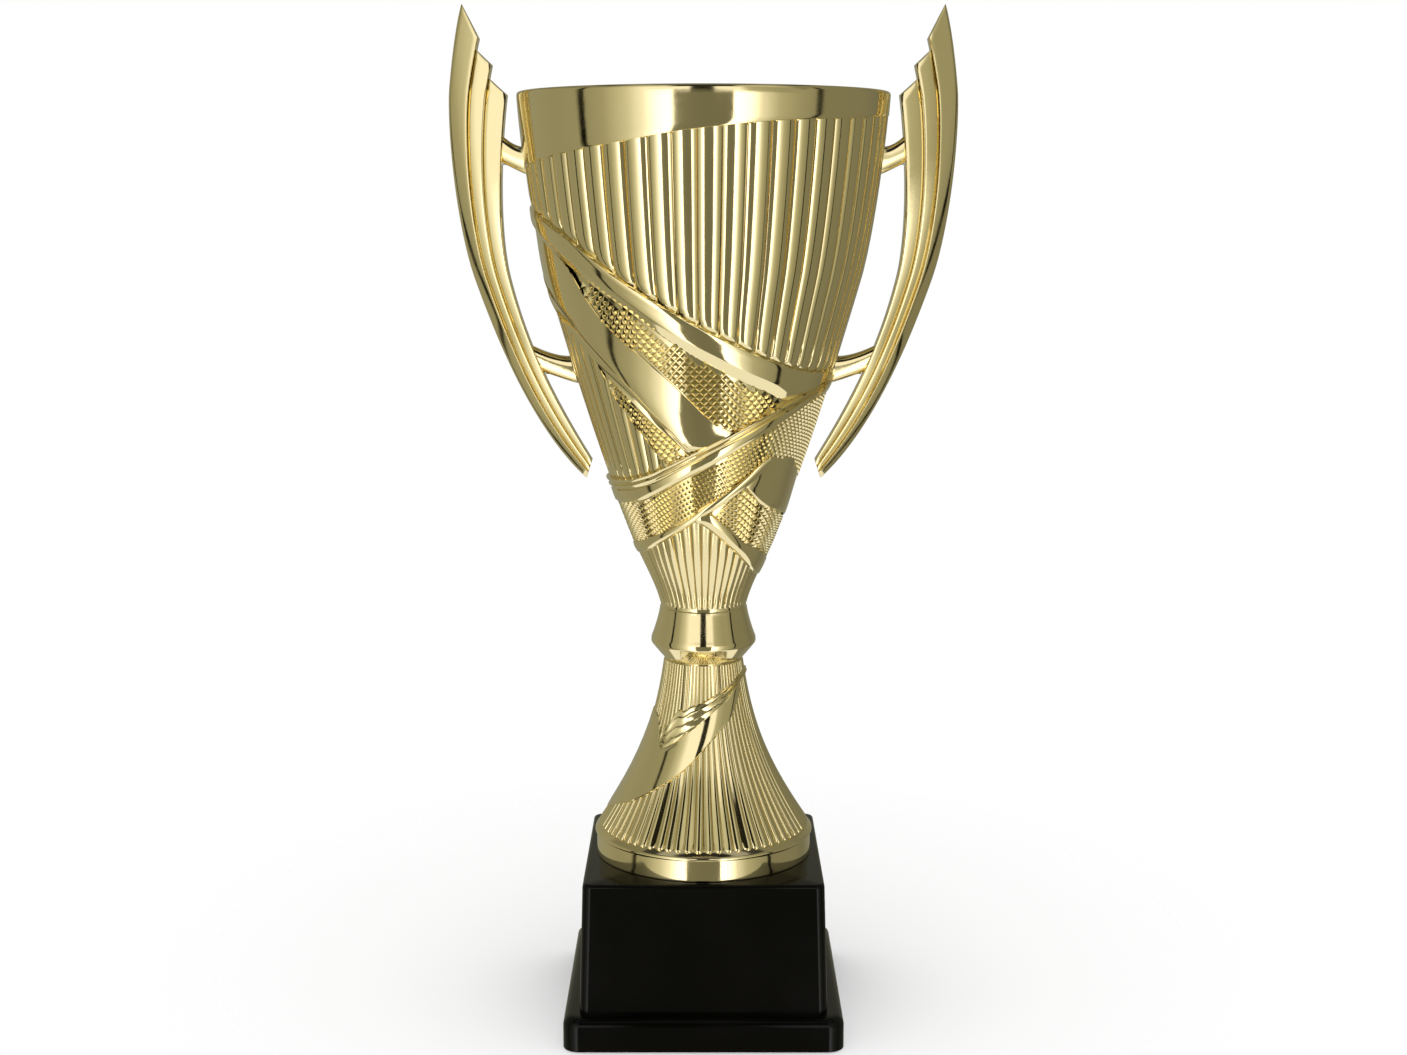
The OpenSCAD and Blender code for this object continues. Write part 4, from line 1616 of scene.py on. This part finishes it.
        low = ramp(self.left + self.wide_gap + self.near_right + self.right, self.low_peak)
        high = ramp(self.left + self.narrow_gap + self.near_right_above + self.right, self.high_peak)
        around = b.blend(b.spread(z, *self.gap_edge, 0, 1), low, high)
        shown = b.blend(b.spread(z, *self.dark_edge, 0, 1), around, ramp(self.above, self.high_peak))
        light = b.node("ShaderNodeEmission", {}, {"Color": shown, "Strength": self.wall_strength})
        b.close("ShaderNodeOutputMaterial", light)
        obj.data.materials.append(b.owner)
        return self._only_mirrored(obj)

    def _ceiling(self) -> bpy.types.Object:
        """A dark ceiling with a bright ring."""
        deselect()
        bpy.ops.mesh.primitive_circle_add(vertices=96, radius=self.wall_r, fill_type="NGON",
                                          location=(0, 0, self.wall_high))
        obj = new_primitive("studio_ceiling")
        settle(obj)
        b = Bench(bpy.data.materials.new("ceiling_panel"))
        x, y, _ = self._split(b)
        reach = b.node("ShaderNodeMath", {"operation": "SQRT"}, {0: x * x + y * y}) / self.wall_r
        stops = [(r / self.wall_r, (v, v, v)) for r, v in self.rings]
        colour = b.node("ShaderNodeValToRGB", {"stops": stops}, {0: reach})
        light = b.node("ShaderNodeEmission", {}, {"Color": colour, "Strength": 1.0})
        b.close("ShaderNodeOutputMaterial", light)
        obj.data.materials.append(b.owner)
        return self._only_mirrored(obj)

    @staticmethod
    def _only_mirrored(obj: bpy.types.Object) -> bpy.types.Object:
        """Shows a panel in reflections alone, so the even surround lights everything else."""
        obj.visible_camera = obj.visible_diffuse = obj.visible_shadow = False
        return obj

    def _world(self) -> None:
        """An even white surround."""
        world = bpy.data.worlds.new("white_surround")
        bpy.context.scene.world = world
        b = Bench(world)
        b.close("ShaderNodeOutputWorld", b.node("ShaderNodeBackground", {}, {
            "Color": (1, 1, 1, 1), "Strength": 1.0}))

    def _lamp(self) -> None:
        """A soft lamp above and in front of the object."""
        deselect()
        bpy.ops.object.light_add(type="AREA", location=self.lamp_place)
        lamp = bpy.context.object
        lamp.name = "front_top_softbox"
        lamp.data.shape = "RECTANGLE"
        lamp.data.size, lamp.data.size_y = self.lamp_size
        lamp.data.energy = self.lamp_energy
        lamp.visible_glossy = False
        lamp.rotation_euler = (Vector(self.lamp_aim) - lamp.location).to_track_quat("-Z", "Y").to_euler()

    def _camera(self) -> None:
        """The camera, in front of the object and tilted down a little."""
        deselect()
        tilt = math.radians(90 - self.camera_tilt)
        bpy.ops.object.camera_add(location=self.camera_place, rotation=(tilt, 0, 0))
        camera = bpy.context.object
        camera.name = "front_camera"
        camera.data.sensor_width, camera.data.sensor_fit = self.sensor, "HORIZONTAL"
        camera.data.lens = self.lens
        camera.data.clip_start = 0.01
        bpy.context.scene.camera = camera

    def build(self) -> None:
        """Sets up floor, light and camera."""
        self._floor()
        self._panels()
        self._ceiling()
        self._world()
        self._lamp()
        self._camera()
        bpy.context.scene.view_settings.view_transform = "Standard"


# ---------------------------------------------------------------- assembly


@dataclass(frozen=True)
class Fixings:
    """The hidden hardware and the base's filling, which keep their CAD shapes."""

    nodes: tuple[tuple[Slot, tuple[str, ...]], ...] = (
        (Slot.STEEL, ("handle_screws", "handle_washers", "top_nut", "top_washer", "tie_rod", "bottom_washer",
                      "bottom_nut")),
        (Slot.IRON, ("ballast_plate",)),
        (Slot.BOARD, ("base_cover",)),
        (Slot.FELT, ("felt_pad",)),
    )

    def dress(self, finishes: dict[Slot, bpy.types.Material]) -> None:
        """Gives each CAD node the finish of its slot.

        Args:
            finishes: The material of each slot.
        """
        for slot, names in self.nodes:
            for name in names:
                obj = frame["nodes"][name]
                if not obj.material_slots:
                    obj.data.materials.append(finishes[slot])
                for place in obj.material_slots:
                    place.material = finishes[slot]
                log.info("%s: %s", name, finishes[slot].name)


def main() -> None:
    """Builds the trophy, the studio and the camera."""
    logging.basicConfig(level=logging.INFO, format="%(name)s: %(message)s")
    finishes = {
        Slot.GOLD: GoldPlating().make(), Slot.BLACK: GlossPlastic().make(), Slot.STEEL: ZINC_STEEL.make(),
        Slot.IRON: RAW_IRON.make(), Slot.BOARD: PressedBoard().make(), Slot.FELT: Felt().make(),
    }
    for piece in (Cup(), Handle(Side.LEFT), Handle(Side.RIGHT), Knop(), Stem(), Plinth()):
        piece.dress(piece.build(), finishes[piece.slot])
    Fixings().dress(finishes)
    Studio().build()


if __name__ == "__main__":
    main()
